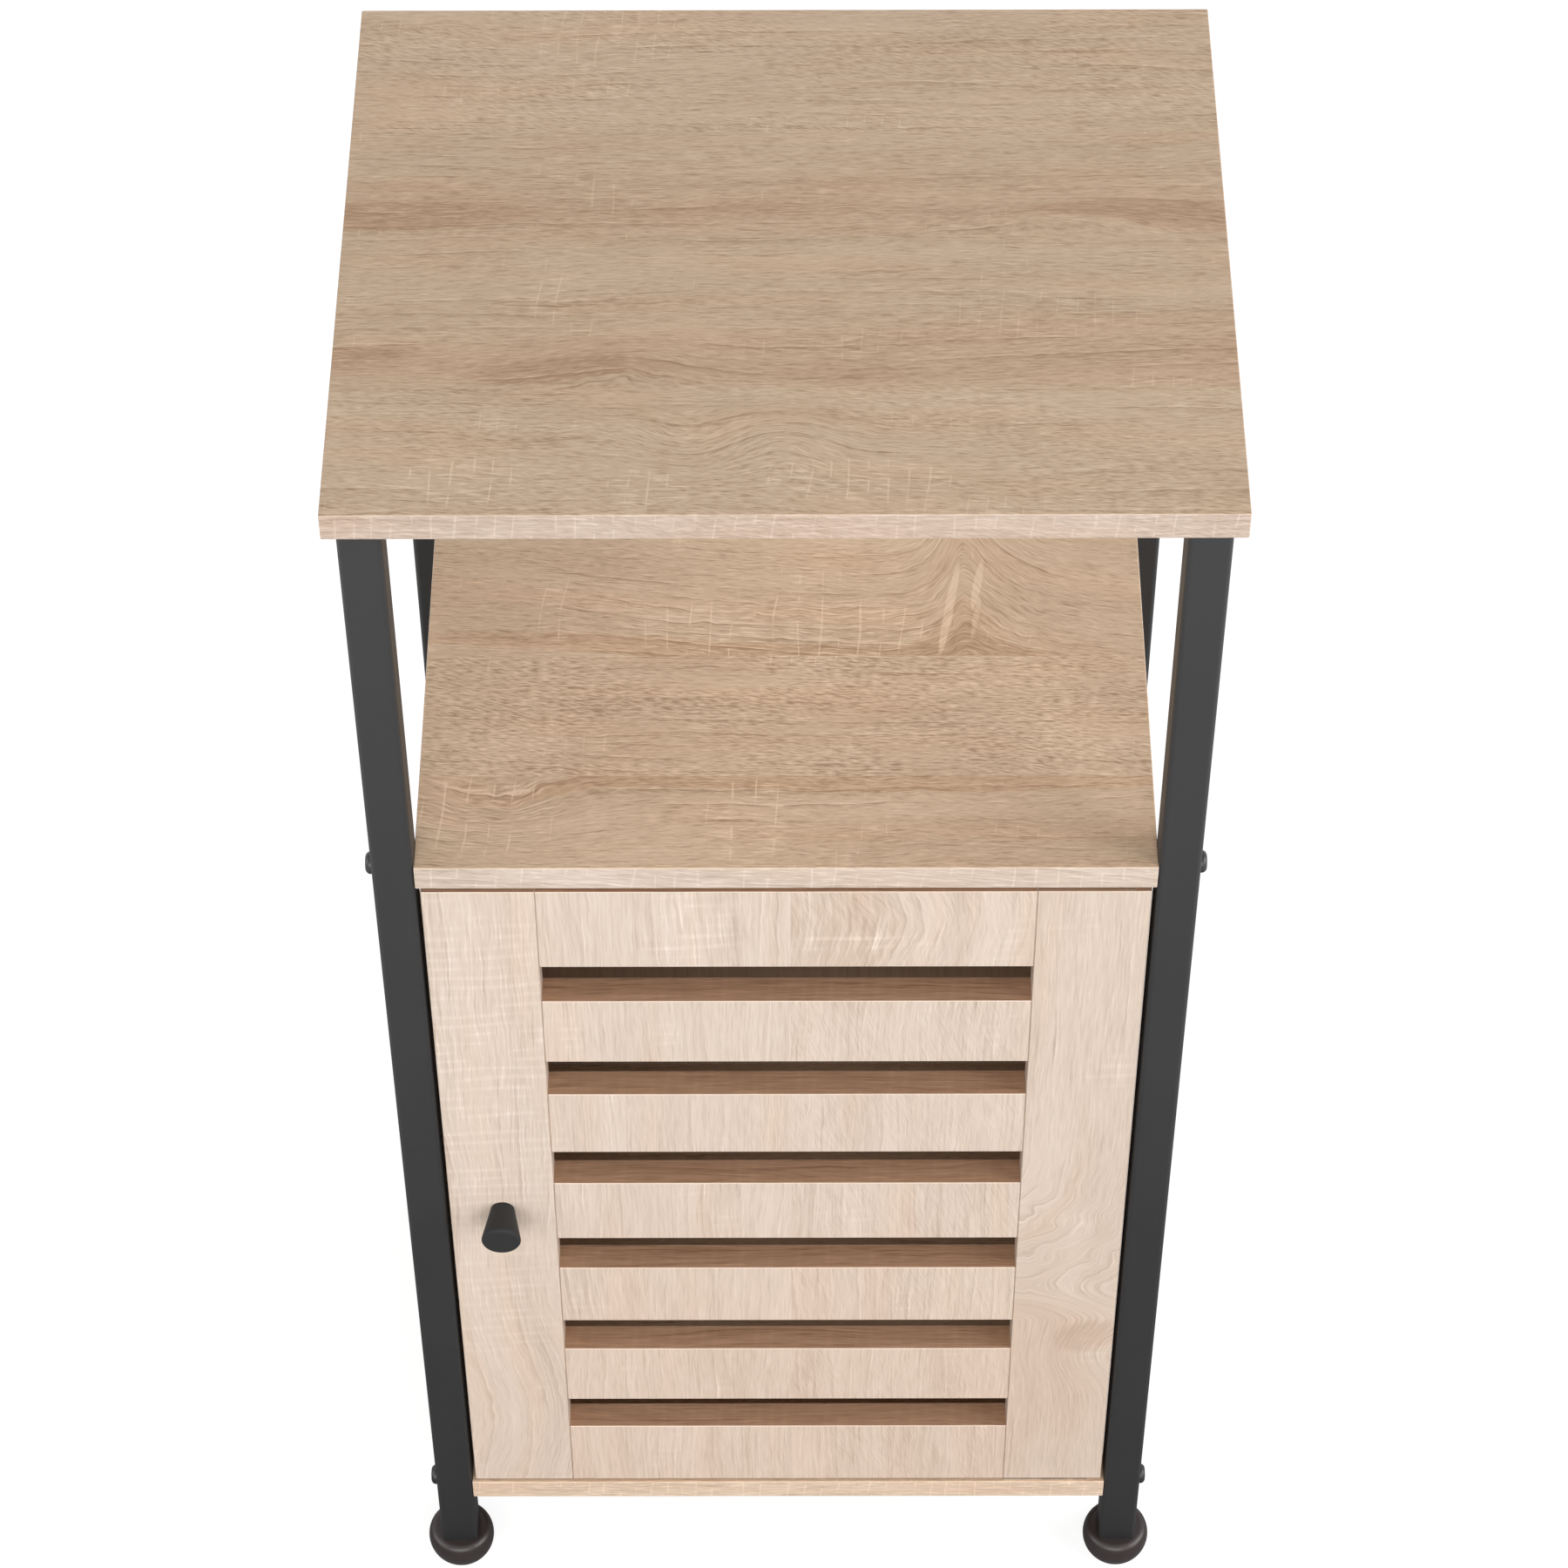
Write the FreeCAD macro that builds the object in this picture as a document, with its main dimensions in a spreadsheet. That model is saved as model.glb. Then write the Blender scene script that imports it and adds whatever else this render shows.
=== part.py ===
import FreeCAD, Part
import os
import re

import Sketcher

# Side cabinet: a laminated top on four square-tube legs, an open bay, and a cabinet with a slatted door.
# Millimetres. +X is right, +Y is back, +Z is up. The origin is on the floor, midway between the feet.

SIZES = {
    # Whole object
    "top_width": 400,
    "top_depth": 330,
    "total_height": 865,
    "shelf_height": 615,
    "bottom_height": 80,
    # Boards
    "top_thick": 15,
    "board_thick": 15,
    "panel_thick": 15,
    "edge_round": 0.6,
    "side_overhang": 5,
    "front_overhang": 10,
    # Tubes
    "tube_size": 20,
    "tube_wall": 1.2,
    "tube_corner": 2.5,
    # Feet
    "foot_dia": 36.6,
    "foot_base_cut": 7,
    "foot_top_cut": 9.6,
    "foot_edge": 4,
    "plug_length": 18,
    "plug_play": 0.2,
    # Back panel in its grooves
    "back_thick": 3,
    "groove_depth": 6,
    "groove_inset": 17,
    "groove_play": 0.2,
    "groove_end_play": 0.5,
    # Door
    "door_thick": 15,
    "door_recess": 1,
    "door_gap_side": 2,
    "door_lift": 2.1,
    "panel_setback": 5,
    "stile_width": 54,
    "top_rail_height": 57,
    "bottom_rail_height": 53,
    "slot_height": 27,
    "door_round": 0.5,
    # Knob and its screw
    "knob_base_dia": 12,
    "knob_face_dia": 21,
    "knob_length": 21,
    "knob_rim": 1.8,
    "knob_screw_dia": 4,
    "knob_screw_bite": 9,
    "knob_head_dia": 8,
    "knob_head_height": 2.4,
    # Pivot hinge
    "pivot_from_edge": 10,
    "pivot_from_face": 5,
    "plate_thick": 1.5,
    "plate_edge": 1.25,
    "plate_end": 12.5,
    "plate_corner": 3,
    "pin_dia": 4,
    "pin_length": 12,
    "pin_play": 0.05,
    "bush_wall": 1.2,
    "bush_end": 2,
    "flange_lip": 0.95,
    "flange_thick": 1.2,
    "flange_proud": 0.4,
    "thrust_play": 0.1,
    "hinge_screw_dia": 3.5,
    "hinge_screw_near": 15,
    "hinge_screw_pitch": 18,
    # Magnetic catch and its strike plate
    "catch_from_dowel": 6,
    "catch_ear": 10,
    "catch_floor": 2,
    "catch_rear": 5.5,
    "catch_screw_dia": 3,
    "catch_head_dia": 6,
    "catch_head_height": 1.8,
    "magnet_width": 16,
    "magnet_depth": 10,
    "magnet_height": 8,
    "magnet_proud": 0.5,
    "catch_air_gap": 0.3,
    "strike_from_top": 1,
    "strike_width": 30,
    "strike_height": 10,
    "strike_thick": 1.4,
    "strike_screw_inset": 5,
    "strike_screw_dia": 2.6,
    # Bolts through the legs into the boards
    "bolt_dia": 6,
    "bolt_bite": 10,
    "bolt_head_lip": 2.4,
    "bolt_head_rim": 1,
    "bolt_head_round": 2.4,
    "bolt_socket_dia": 4.4,
    "bolt_socket_depth": 2,
    "bolt_hole_play": 0.2,
    "insert_wall": 1.5,
    "insert_end": 3,
    # Screws that hold the top
    "top_screw_dia": 4,
    "top_screw_inset": 45,
    "top_head_dia": 8,
    "top_head_height": 2.4,
    # Cam fittings and dowels of the carcass
    "cam_dia": 15,
    "cam_wall": 3.5,
    "cam_distance": 24,
    "cam_from_end": 50,
    "cam_bolt_dia": 5,
    "cam_neck_dia": 4,
    "cam_neck_length": 4,
    "cam_head_dia": 6.4,
    "cam_head_length": 3,
    "cam_slot_play": 0.4,
    "cam_driver_slot": 1.6,
    "dowel_dia": 8,
    "dowel_length": 30,
    "dowel_from_cam": 40,
    # Dowels of the door
    "door_dowel_dia": 6,
    "door_dowel_length": 30,
    "door_dowel_pitch": 26,
    # Fits, the wood left beyond a screw's point, and the least rounding
    "fit": 0.05,
    "point_cover": 5,
    "least_round": 0.2,
    "hole_end_play": 0.5,
}

DERIVED = {
    # Frame
    "leg_x": "top_width / 2 - side_overhang - tube_size / 2",
    "leg_y": "top_depth / 2 - front_overhang - tube_size / 2",
    "inner_x": "leg_x - tube_size / 2",
    "frame_y": "leg_y + tube_size / 2",
    "top_z": "total_height - top_thick",
    "shelf_z": "shelf_height - board_thick",
    "bottom_z": "bottom_height - board_thick",
    "board_mid": "board_thick / 2",
    "board_bite": "board_thick - point_cover",
    "rail_half": "leg_y - tube_size / 2",
    "inner_corner": "max(tube_corner - tube_wall, least_round)",
    "foot_widest": "foot_dia / 2 - foot_base_cut",
    "foot_height": "foot_dia - foot_base_cut - foot_top_cut",
    "bolt_length": "tube_size + bolt_bite",
    "bolt_head_dia": "bolt_dia + 2 * bolt_head_lip",
    "bolt_head_height": "bolt_head_rim + bolt_head_round",
    "insert_dia": "bolt_dia + 2 * insert_wall",
    "insert_length": "bolt_bite + insert_end",
    "top_screw_reach": "rail_half - top_screw_inset",
    "top_screw_bite": "top_thick - point_cover",
    # Side panels and back panel
    "panel_front": "door_back + panel_setback",
    "panel_depth": "frame_y - panel_front",
    "panel_mid_y": "(frame_y + panel_front) / 2",
    "panel_height": "shelf_z - bottom_height",
    "panel_x": "inner_x - panel_thick / 2",
    "cam_depth": "panel_thick / 2 + cam_wall",
    "cam_reach": "panel_depth / 2 - cam_from_end",
    "dowel_reach": "cam_reach - dowel_from_cam",
    "groove_width": "back_thick + 2 * groove_play",
    "groove_y": "frame_y - groove_inset - groove_width / 2",
    "back_width": "2 * (inner_x - panel_thick + groove_depth - groove_end_play)",
    "back_height": "panel_height + 2 * (groove_depth - groove_end_play)",
    # Door
    "door_front": "-frame_y + door_recess",
    "door_back": "door_front + door_thick",
    "door_y": "door_front + door_thick / 2",
    "door_half": "inner_x - door_gap_side",
    "door_gap_bottom": "plate_thick + thrust_play + flange_proud",
    "door_gap_top": "plate_thick + flange_proud + door_lift",
    "door_bottom": "bottom_height + door_gap_bottom",
    "door_top": "shelf_z - door_gap_top",
    "door_height": "door_top - door_bottom",
    "stile_x": "door_half - stile_width / 2",
    "bar_length": "2 * (door_half - stile_width)",
    "slat_space": "door_height - top_rail_height - bottom_rail_height - slot_count * slot_height",
    "slat_height": "slat_space / slat_count",
    "slat_pitch": "slat_height + slot_height",
    "first_slat_z": "door_bottom + bottom_rail_height + slot_height + slat_height / 2",
    "knob_z": "(door_bottom + door_top) / 2",
    "door_bite": "door_thick - point_cover",
    # Hinge
    "pivot_x": "door_half - pivot_from_edge",
    "pivot_y": "door_front + pivot_from_face",
    "hinge_head_dia": "hinge_screw_dia + 2 * plate_thick",
    "plate_width": "hinge_head_dia + 2 * plate_edge",
    "plate_length": "plate_width / 2 + hinge_screw_near + hinge_screw_pitch + plate_end",
    "bush_dia": "pin_dia + 2 * (pin_play + bush_wall)",
    "bush_length": "pin_length + bush_end",
    "flange_dia": "bush_dia + 2 * flange_lip",
    "flange_sunk": "flange_thick - flange_proud",
    # Catch
    "catch_width": "magnet_width + 2 * catch_ear",
    "catch_depth": "magnet_depth - magnet_proud + catch_rear",
    "catch_height": "shelf_z - magnet_z + magnet_height / 2 + catch_floor",
    "catch_x": "-bar_length / 2 + door_dowel_length / 2 + catch_from_dowel + catch_width / 2",
    "catch_front": "strike_front + catch_air_gap + magnet_proud",
    "catch_mid_y": "catch_front + catch_depth / 2",
    "catch_z": "shelf_z - catch_height",
    "catch_screw_reach": "magnet_width / 2 + catch_ear / 2",
    "magnet_z": "door_top - strike_from_top - strike_height / 2",
    "strike_front": "door_back + strike_thick",
    "strike_screw_reach": "strike_width / 2 - strike_screw_inset",
    "strike_head_dia": "strike_screw_dia + 2 * strike_thick",
}

SLAT_COUNT = 5
COUNTS = {"slat_count": SLAT_COUNT, "slot_count": SLAT_COUNT + 1, "socket_sides": 6}

HOME = ("0", "0", "0")
ACROSS = FreeCAD.Vector(1, 0, 0)
INWARD = FreeCAD.Vector(0, 1, 0)

# Turns that point a shape's own +Z up, down, right, left, back or to the front
UP = FreeCAD.Rotation()
DOWN = FreeCAD.Rotation(ACROSS, 180)
RIGHT = FreeCAD.Rotation(INWARD, 90)
LEFT = FreeCAD.Rotation(INWARD, -90)
BACK = FreeCAD.Rotation(ACROSS, -90)
FRONT = FreeCAD.Rotation(ACROSS, 90)

SMALL = 0.001
SIDES = {"left": -1, "right": 1}
ENDS = {"front": -1, "rear": 1}

doc = FreeCAD.newDocument("side_cabinet")
sheet = doc.addObject("Spreadsheet::Sheet", "Sizes")
nodes = []


def fill_sheet():
    for row, (name, value) in enumerate(SIZES.items(), start=1):
        sheet.set(f"A{row}", name)
        sheet.set(f"B{row}", str(value))
        sheet.setAlias(f"B{row}", name)
    doc.recompute()


def expand(text):
    """Write a rule in plain names as a rule in cells of the sheet."""

    def reference(match):
        name = match.group(0)
        if name in SIZES:
            return "Sizes." + name
        if name in COUNTS:
            return str(COUNTS[name])
        if name in DERIVED:
            return "(" + expand(DERIVED[name]) + ")"
        return name

    return re.sub(r"[a-z][a-z_]*", reference, text)


def bind(thing, **rules):
    for prop, text in rules.items():
        thing.setExpression(prop, expand(text))


def place(thing, at, direction=UP):
    """Point the thing's own +Z along a direction and bind its position."""
    thing.Placement = FreeCAD.Placement(FreeCAD.Vector(), direction)
    for axis, text in zip("xyz", at):
        thing.setExpression("Placement.Base." + axis, expand(text))


def new_body(label, at=HOME, direction=UP):
    body = doc.addObject("PartDesign::Body", label)
    body.Label = label
    place(body, at, direction)
    return body


def new_node(label, at=HOME, direction=UP):
    body = new_body(label, at, direction)
    nodes.append(body)
    return body


def feature(body, kind, at=HOME, direction=UP, **rules):
    item = body.newObject("PartDesign::" + kind, kind)
    place(item, at, direction)
    bind(item, **rules)
    return item


def rod(body, radius, length, at=HOME, direction=UP):
    return feature(body, "AdditiveCylinder", at, direction, Radius=radius, Height=length)


def drill(body, radius, depth, at, direction):
    """Cut a round hole that starts at a point and runs along a direction."""
    return feature(body, "SubtractiveCylinder", at, direction, Radius=radius, Height=depth)


def cut_box(body, size, centre):
    length, width, height = size
    corner = [f"{c} - ({s}) / 2" for c, s in zip(centre, size)]
    return feature(body, "SubtractiveBox", corner, Length=length, Width=width, Height=height)


def rectangle(sketch, width, depth):
    """Draw a closed rectangle about the sketch's origin, sized by two rules."""
    corners = [FreeCAD.Vector(x, y, 0) for x, y in ((-1, -1), (1, -1), (1, 1), (-1, 1))]
    lines = []
    for i in range(4):
        lines.append(sketch.addGeometry(Part.LineSegment(corners[i], corners[(i + 1) % 4])))
    for i in range(4):
        sketch.addConstraint(Sketcher.Constraint("Coincident", lines[i], 2, lines[(i + 1) % 4], 1))
    for i in (0, 2):
        sketch.addConstraint(Sketcher.Constraint("Horizontal", lines[i]))
        sketch.addConstraint(Sketcher.Constraint("Vertical", lines[i + 1]))
    sketch.addConstraint(Sketcher.Constraint("Symmetric", lines[0], 1, lines[2], 1, -1, 1))
    wide = sketch.addConstraint(Sketcher.Constraint("DistanceX", lines[0], 1, lines[0], 2, 2))
    deep = sketch.addConstraint(Sketcher.Constraint("DistanceY", lines[1], 1, lines[1], 2, 2))
    bind(sketch, **{f"Constraints[{wide}]": width, f"Constraints[{deep}]": depth})


def pad(body, height, *rectangles):
    """Pad one rectangle, or the ring between two, up from the body's XY plane."""
    sketch = body.newObject("Sketcher::SketchObject", "Outline")
    planes = {item.Role: item for item in body.Origin.OriginFeatures}
    sketch.AttachmentSupport = [(planes["XY_Plane"], "")]
    sketch.MapMode = "FlatFace"
    for width, depth in rectangles:
        rectangle(sketch, width, depth)
    solid = body.newObject("PartDesign::Pad", "Pad")
    solid.Profile = sketch
    bind(solid, Length=height)
    sketch.Visibility = False
    return solid


def round_edges(body, radius, wanted):
    """Round the edges of the body's last feature that a test picks out."""
    doc.recompute()
    base = body.Tip
    names = [f"Edge{i}" for i, edge in enumerate(base.Shape.Edges, start=1) if wanted(edge)]
    fillet = body.newObject("PartDesign::Fillet", "Fillet")
    fillet.Base = (base, names)
    bind(fillet, Radius=radius)


def every(edge):
    return True


def upright(edge):
    return edge.BoundBox.ZLength > SMALL and max(edge.BoundBox.XLength, edge.BoundBox.YLength) < SMALL


def level_circle(edge):
    return edge.BoundBox.ZLength < SMALL and edge.isClosed()


def corner_of_square(half):
    """A test for the long edges at the corners of a square about the axis."""

    def wanted(edge):
        centre = edge.CenterOfMass
        offset = max(abs(abs(centre.x) - half), abs(abs(centre.y) - half))
        return upright(edge) and offset < SMALL

    return wanted


def raised_circle(edge):
    return level_circle(edge) and edge.CenterOfMass.z > SMALL


def board(label, width, depth, thick, at, radius="edge_round"):
    """A board with eased edges whose underside is at the given point."""
    body = new_node(label, at)
    pad(body, thick, (width, depth))
    round_edges(body, radius, every)
    return body


def master(name):
    """A body that is only copied, to make a group of equal pieces."""
    return new_body(name)


def group(label, pattern, spots):
    """One node of separate copies, each at a point and turned to a direction."""
    copies = []
    for at, direction in spots:
        copy = doc.addObject("App::Link", pattern.Label + "_copy")
        copy.LinkedObject = pattern
        place(copy, at, direction)
        copies.append(copy)
    node = doc.addObject("Part::Compound", label)
    node.Label = label
    node.Links = copies
    nodes.append(node)


def signed(sign, name):
    return f"{sign} * {name}"


def make_top_board():
    body = board("top_board", "top_width", "top_depth", "top_thick", ("0", "0", "top_z"))
    for at in top_screw_spots("0"):
        drill(body, "top_screw_dia / 2 + fit", "top_screw_bite + hole_end_play", at, UP)


def top_screw_spots(z):
    return [(signed(i, "leg_x"), signed(j, "top_screw_reach"), z) for i in (-1, 1) for j in (-1, 1)]


def make_deck(label, z, face):
    """A board between the legs. Its face is the side that the side panels meet."""
    body = board(label, "2 * inner_x", "2 * frame_y", "board_thick", ("0", "0", z))
    level, inward = ("0", UP) if face == "under" else ("board_thick", DOWN)
    for i, inwards in ((-1, RIGHT), (1, LEFT)):
        for j in (-1, 1):
            drill(body, "insert_dia / 2 + fit", "insert_length",
                  (signed(i, "inner_x"), signed(j, "leg_y"), "board_mid"), inwards)
            drill(body, "cam_bolt_dia / 2 + fit", "board_bite + hole_end_play",
                  (signed(i, "panel_x"), f"panel_mid_y + {j} * cam_reach", level), inward)
            drill(body, "dowel_dia / 2 + fit", "board_bite + hole_end_play",
                  (signed(i, "panel_x"), f"panel_mid_y + {j} * dowel_reach", level), inward)
    for x in hinge_screw_places():
        drill(body, "hinge_screw_dia / 2 + fit", "board_bite + hole_end_play", (x, "pivot_y", level), inward)
    cut_box(body, ("back_width + 2 * groove_end_play", "groove_width", "2 * groove_depth"),
            ("0", "groove_y", level))
    return body


def make_shelf_board():
    body = make_deck("shelf_board", "shelf_z", "under")
    for x in catch_screw_places():
        drill(body, "catch_screw_dia / 2 + fit", "board_bite + hole_end_play", (x, "catch_mid_y", "0"), UP)


def make_bottom_board():
    make_deck("bottom_board", "bottom_z", "over")


def make_side_panel(side, sign):
    body = board(f"side_panel_{side}", "panel_thick", "panel_depth", "panel_height",
                 (signed(sign, "panel_x"), "panel_mid_y", "bottom_height"))
    inner_face = f"{-sign} * panel_thick / 2"
    into = RIGHT if sign > 0 else LEFT
    for level, inward, cam_z in (("0", UP, "cam_distance"),
                                 ("panel_height", DOWN, "panel_height - cam_distance")):
        for j in (-1, 1):
            cam_y = f"{j} * cam_reach"
            drill(body, "cam_dia / 2 + fit", "cam_depth + hole_end_play", (inner_face, cam_y, cam_z), into)
            drill(body, "cam_head_dia / 2 + cam_slot_play", "cam_distance", ("0", cam_y, level), inward)
            drill(body, "dowel_dia / 2 + fit", "dowel_length - board_bite + hole_end_play",
                  ("0", f"{j} * dowel_reach", level), inward)
    cut_box(body, ("2 * groove_depth", "groove_width", "2 * panel_height"),
            (inner_face, "groove_y - panel_mid_y", "panel_height / 2"))


def make_back_panel():
    body = new_node("back_panel", ("0", "groove_y", "bottom_height + (panel_height - back_height) / 2"))
    pad(body, "back_height", ("back_width", "back_thick"))


def tube(label, length, at, direction=UP):
    """A square tube that starts at a point and runs along a direction."""
    body = new_node(label, at, direction)
    bore = "tube_size - 2 * tube_wall"
    pad(body, length, ("tube_size", "tube_size"), (bore, bore))
    half = SIZES["tube_size"] / 2
    round_edges(body, "tube_corner", corner_of_square(half))
    round_edges(body, "inner_corner", corner_of_square(half - SIZES["tube_wall"]))
    return body


def make_leg(end, j, side, i):
    body = tube(f"leg_{end}_{side}", "top_z - foot_height",
                (signed(i, "leg_x"), signed(j, "leg_y"), "foot_height"))
    for z in ("shelf_z", "bottom_z"):
        drill(body, "bolt_dia / 2 + bolt_hole_play", "2 * tube_size",
              ("-tube_size", "0", f"{z} + board_mid - foot_height"), RIGHT)


def make_top_rail(side, i):
    body = tube(f"top_rail_{side}", "2 * rail_half",
                (signed(i, "leg_x"), "-rail_half", "top_z - tube_size / 2"), BACK)
    for j in (-1, 1):
        drill(body, "top_screw_dia / 2 + bolt_hole_play", "2 * tube_size",
              ("0", "-tube_size", f"rail_half + {j} * top_screw_reach"), BACK)


def make_foot(end, j, side, i):
    """A ball cut flat for the floor and for the tube's end, with a square plug above it."""
    body = new_node(f"foot_{end}_{side}", (signed(i, "leg_x"), signed(j, "leg_y"), "0"))
    feature(body, "AdditiveSphere", ("0", "0", "foot_widest"), Radius="foot_dia / 2",
            Angle1="-asin(foot_widest / (foot_dia / 2))",
            Angle2="asin((foot_height - foot_widest) / (foot_dia / 2))")
    round_edges(body, "foot_edge", level_circle)
    plug = "tube_size - 2 * tube_wall - 2 * plug_play"
    corner = f"-({plug}) / 2"
    feature(body, "AdditiveBox", (corner, corner, "foot_height"), Length=plug, Width=plug,
            Height="plug_length")
    round_edges(body, "inner_corner + plug_play", upright)


def make_frame_bolts():
    bolt = master("frame_bolt")
    rod(bolt, "bolt_head_dia / 2", "bolt_head_height")
    round_edges(bolt, "bolt_head_round", raised_circle)
    rod(bolt, "bolt_dia / 2", "bolt_length", HOME, DOWN)
    feature(bolt, "SubtractivePrism", ("0", "0", "bolt_head_height"), DOWN, Polygon="socket_sides",
            Circumradius="bolt_socket_dia / 2", Height="bolt_socket_depth")
    group("frame_bolts", bolt, leg_bolt_spots("leg_x + tube_size / 2", LEFT, RIGHT))


def leg_bolt_spots(x, on_left, on_right):
    """Where the bolts cross the legs: a distance from the middle, at both boards."""
    spots = []
    for z in ("shelf_z", "bottom_z"):
        for i, direction in ((-1, on_left), (1, on_right)):
            for j in (-1, 1):
                spots.append(((f"{i} * ({x})", signed(j, "leg_y"), f"{z} + board_mid"), direction))
    return spots


def make_frame_inserts():
    insert = master("frame_insert")
    rod(insert, "insert_dia / 2", "insert_length")
    drill(insert, "bolt_dia / 2 + fit", "insert_length", HOME, UP)
    group("frame_inserts", insert, leg_bolt_spots("inner_x", RIGHT, LEFT))


def pan_screw(name, dia, length, head_dia, head_height):
    """A screw that points up, with its head's seat at the origin."""
    screw = master(name)
    rod(screw, f"{head_dia} / 2", head_height, HOME, DOWN)
    rod(screw, f"{dia} / 2", length)
    return screw


def sunk_screw(name, dia, length, head_dia, sink):
    """A screw that points up, with the top of its countersunk head at the origin."""
    screw = master(name)
    feature(screw, "AdditiveCone", Radius1=f"{head_dia} / 2", Radius2=f"{dia} / 2", Height=sink)
    rod(screw, f"{dia} / 2", length)
    return screw


def countersink(body, dia, head_dia, sink, at, direction):
    """A hole for a countersunk screw that enters at a point."""
    feature(body, "SubtractiveCone", at, direction, Radius1=f"{head_dia} / 2 + fit",
            Radius2=f"{dia} / 2 + fit", Height=sink)


def make_top_screws():
    screw = pan_screw("top_screw", "top_screw_dia", "tube_size + top_screw_bite", "top_head_dia",
                      "top_head_height")
    group("top_screws", screw, [(at, UP) for at in top_screw_spots("top_z - tube_size")])


def panel_joints():
    """Each joint of a side panel: its side, row, board face, and the way into the panel."""
    joints = []
    for i in (-1, 1):
        for j in (-1, 1):
            joints.append((i, j, "bottom_height", 1, UP))
            joints.append((i, j, "shelf_z", -1, DOWN))
    return joints


def make_cam_bolts():
    """A thread in the board, a stem, and a head on a thin neck that the cam grips."""
    bolt = master("cam_bolt")
    head_start = "cam_distance - cam_head_length / 2"
    rod(bolt, "cam_bolt_dia / 2", "board_bite", HOME, DOWN)
    rod(bolt, "cam_bolt_dia / 2", f"{head_start} - cam_neck_length")
    rod(bolt, "cam_neck_dia / 2", head_start)
    rod(bolt, "cam_head_dia / 2", "cam_head_length", ("0", "0", head_start))
    group("cam_bolts", bolt, [((signed(i, "panel_x"), f"panel_mid_y + {j} * cam_reach", z), direction)
                              for i, j, z, _, direction in panel_joints()])


def make_cam_locks():
    """A drum flush with the panel's inner face, with a slot for the bolt's head and a driver slot."""
    spots = []
    for i, j, z, rise, _ in panel_joints():
        at = (f"{i} * (panel_x - panel_thick / 2)", f"panel_mid_y + {j} * cam_reach",
              f"{z} + {rise} * cam_distance")
        spots.append((at, RIGHT if i > 0 else LEFT))
    lock = master("cam_lock")
    rod(lock, "cam_dia / 2", "cam_depth")
    slot = "cam_head_dia + 2 * cam_slot_play"
    cut_box(lock, ("2 * cam_dia", slot, slot), ("0", "0", "panel_thick / 2"))
    cut_box(lock, ("cam_dia / 2", "cam_driver_slot", "2 * cam_driver_slot"), HOME)
    group("cam_locks", lock, spots)


def make_carcass_dowels():
    dowel = master("carcass_dowel")
    rod(dowel, "dowel_dia / 2", "dowel_length")
    spots = []
    for i, j, z, rise, direction in panel_joints():
        at = (signed(i, "panel_x"), f"panel_mid_y + {j} * dowel_reach", f"{z} + {-rise} * board_bite")
        spots.append((at, direction))
    group("carcass_dowels", dowel, spots)


def hinge_screw_places():
    return ["pivot_x - hinge_screw_near", "pivot_x - hinge_screw_near - hinge_screw_pitch"]


def make_hinge_plate(label, z, direction):
    """A pivot plate on a board, with a riveted pin that stands out into the door."""
    body = new_node(label, ("pivot_x", "pivot_y", z), direction)
    shift = "plate_width / 2 - plate_length / 2"
    sketch_pad = pad(body, "plate_thick", ("plate_length", "plate_width"))
    sketch_pad.Profile[0].setExpression("AttachmentOffset.Base.x", expand(shift))
    round_edges(body, "min(plate_corner, plate_width / 2 - least_round)", upright)
    rod(body, "pin_dia / 2", "plate_thick + pin_length")
    for x in hinge_screw_places():
        countersink(body, "hinge_screw_dia", "hinge_head_dia", "plate_thick",
                    (f"{x} - pivot_x", "0", "plate_thick"), DOWN)


def make_hinge_screws():
    screw = sunk_screw("hinge_screw", "hinge_screw_dia", "plate_thick + board_bite", "hinge_head_dia",
                       "plate_thick")
    spots = [((x, "pivot_y", "shelf_z - plate_thick"), UP) for x in hinge_screw_places()]
    spots += [((x, "pivot_y", "bottom_height + plate_thick"), DOWN) for x in hinge_screw_places()]
    group("hinge_screws", screw, spots)


def make_hinge_bush(label, z, into):
    """A flanged bush in the end of the hinge stile, its flange a little proud."""
    body = new_node(label, ("pivot_x", "pivot_y", z), into)
    rod(body, "flange_dia / 2", "flange_thick", ("0", "0", "-flange_proud"))
    rod(body, "bush_dia / 2", "bush_length")
    drill(body, "pin_dia / 2 + pin_play", "bush_length + flange_proud", ("0", "0", "-flange_proud"), UP)


def catch_screw_places():
    return [f"catch_x + {k} * catch_screw_reach" for k in (-1, 1)]


def make_catch():
    body = new_node("catch_body", ("catch_x", "catch_mid_y", "catch_z"))
    pad(body, "catch_height", ("catch_width", "catch_depth"))
    round_edges(body, "edge_round", every)
    for x in catch_screw_places():
        drill(body, "catch_screw_dia / 2 + bolt_hole_play", "catch_height", (f"{x} - catch_x", "0", "0"), UP)
    cut_box(body, ("magnet_width + 2 * fit", "2 * (magnet_depth - magnet_proud)", "magnet_height + 2 * fit"),
            ("0", "-catch_depth / 2", "magnet_z - catch_z"))
    magnet = new_node("catch_magnet", ("catch_x", "catch_front - magnet_proud + magnet_depth / 2",
                                       "magnet_z - magnet_height / 2"))
    pad(magnet, "magnet_height", ("magnet_width", "magnet_depth"))
    screw = pan_screw("catch_screw", "catch_screw_dia", "catch_height + board_bite", "catch_head_dia",
                      "catch_head_height")
    group("catch_screws", screw, [((x, "catch_mid_y", "catch_z"), UP) for x in catch_screw_places()])


def strike_screw_places():
    return [f"catch_x + {k} * strike_screw_reach" for k in (-1, 1)]


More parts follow.
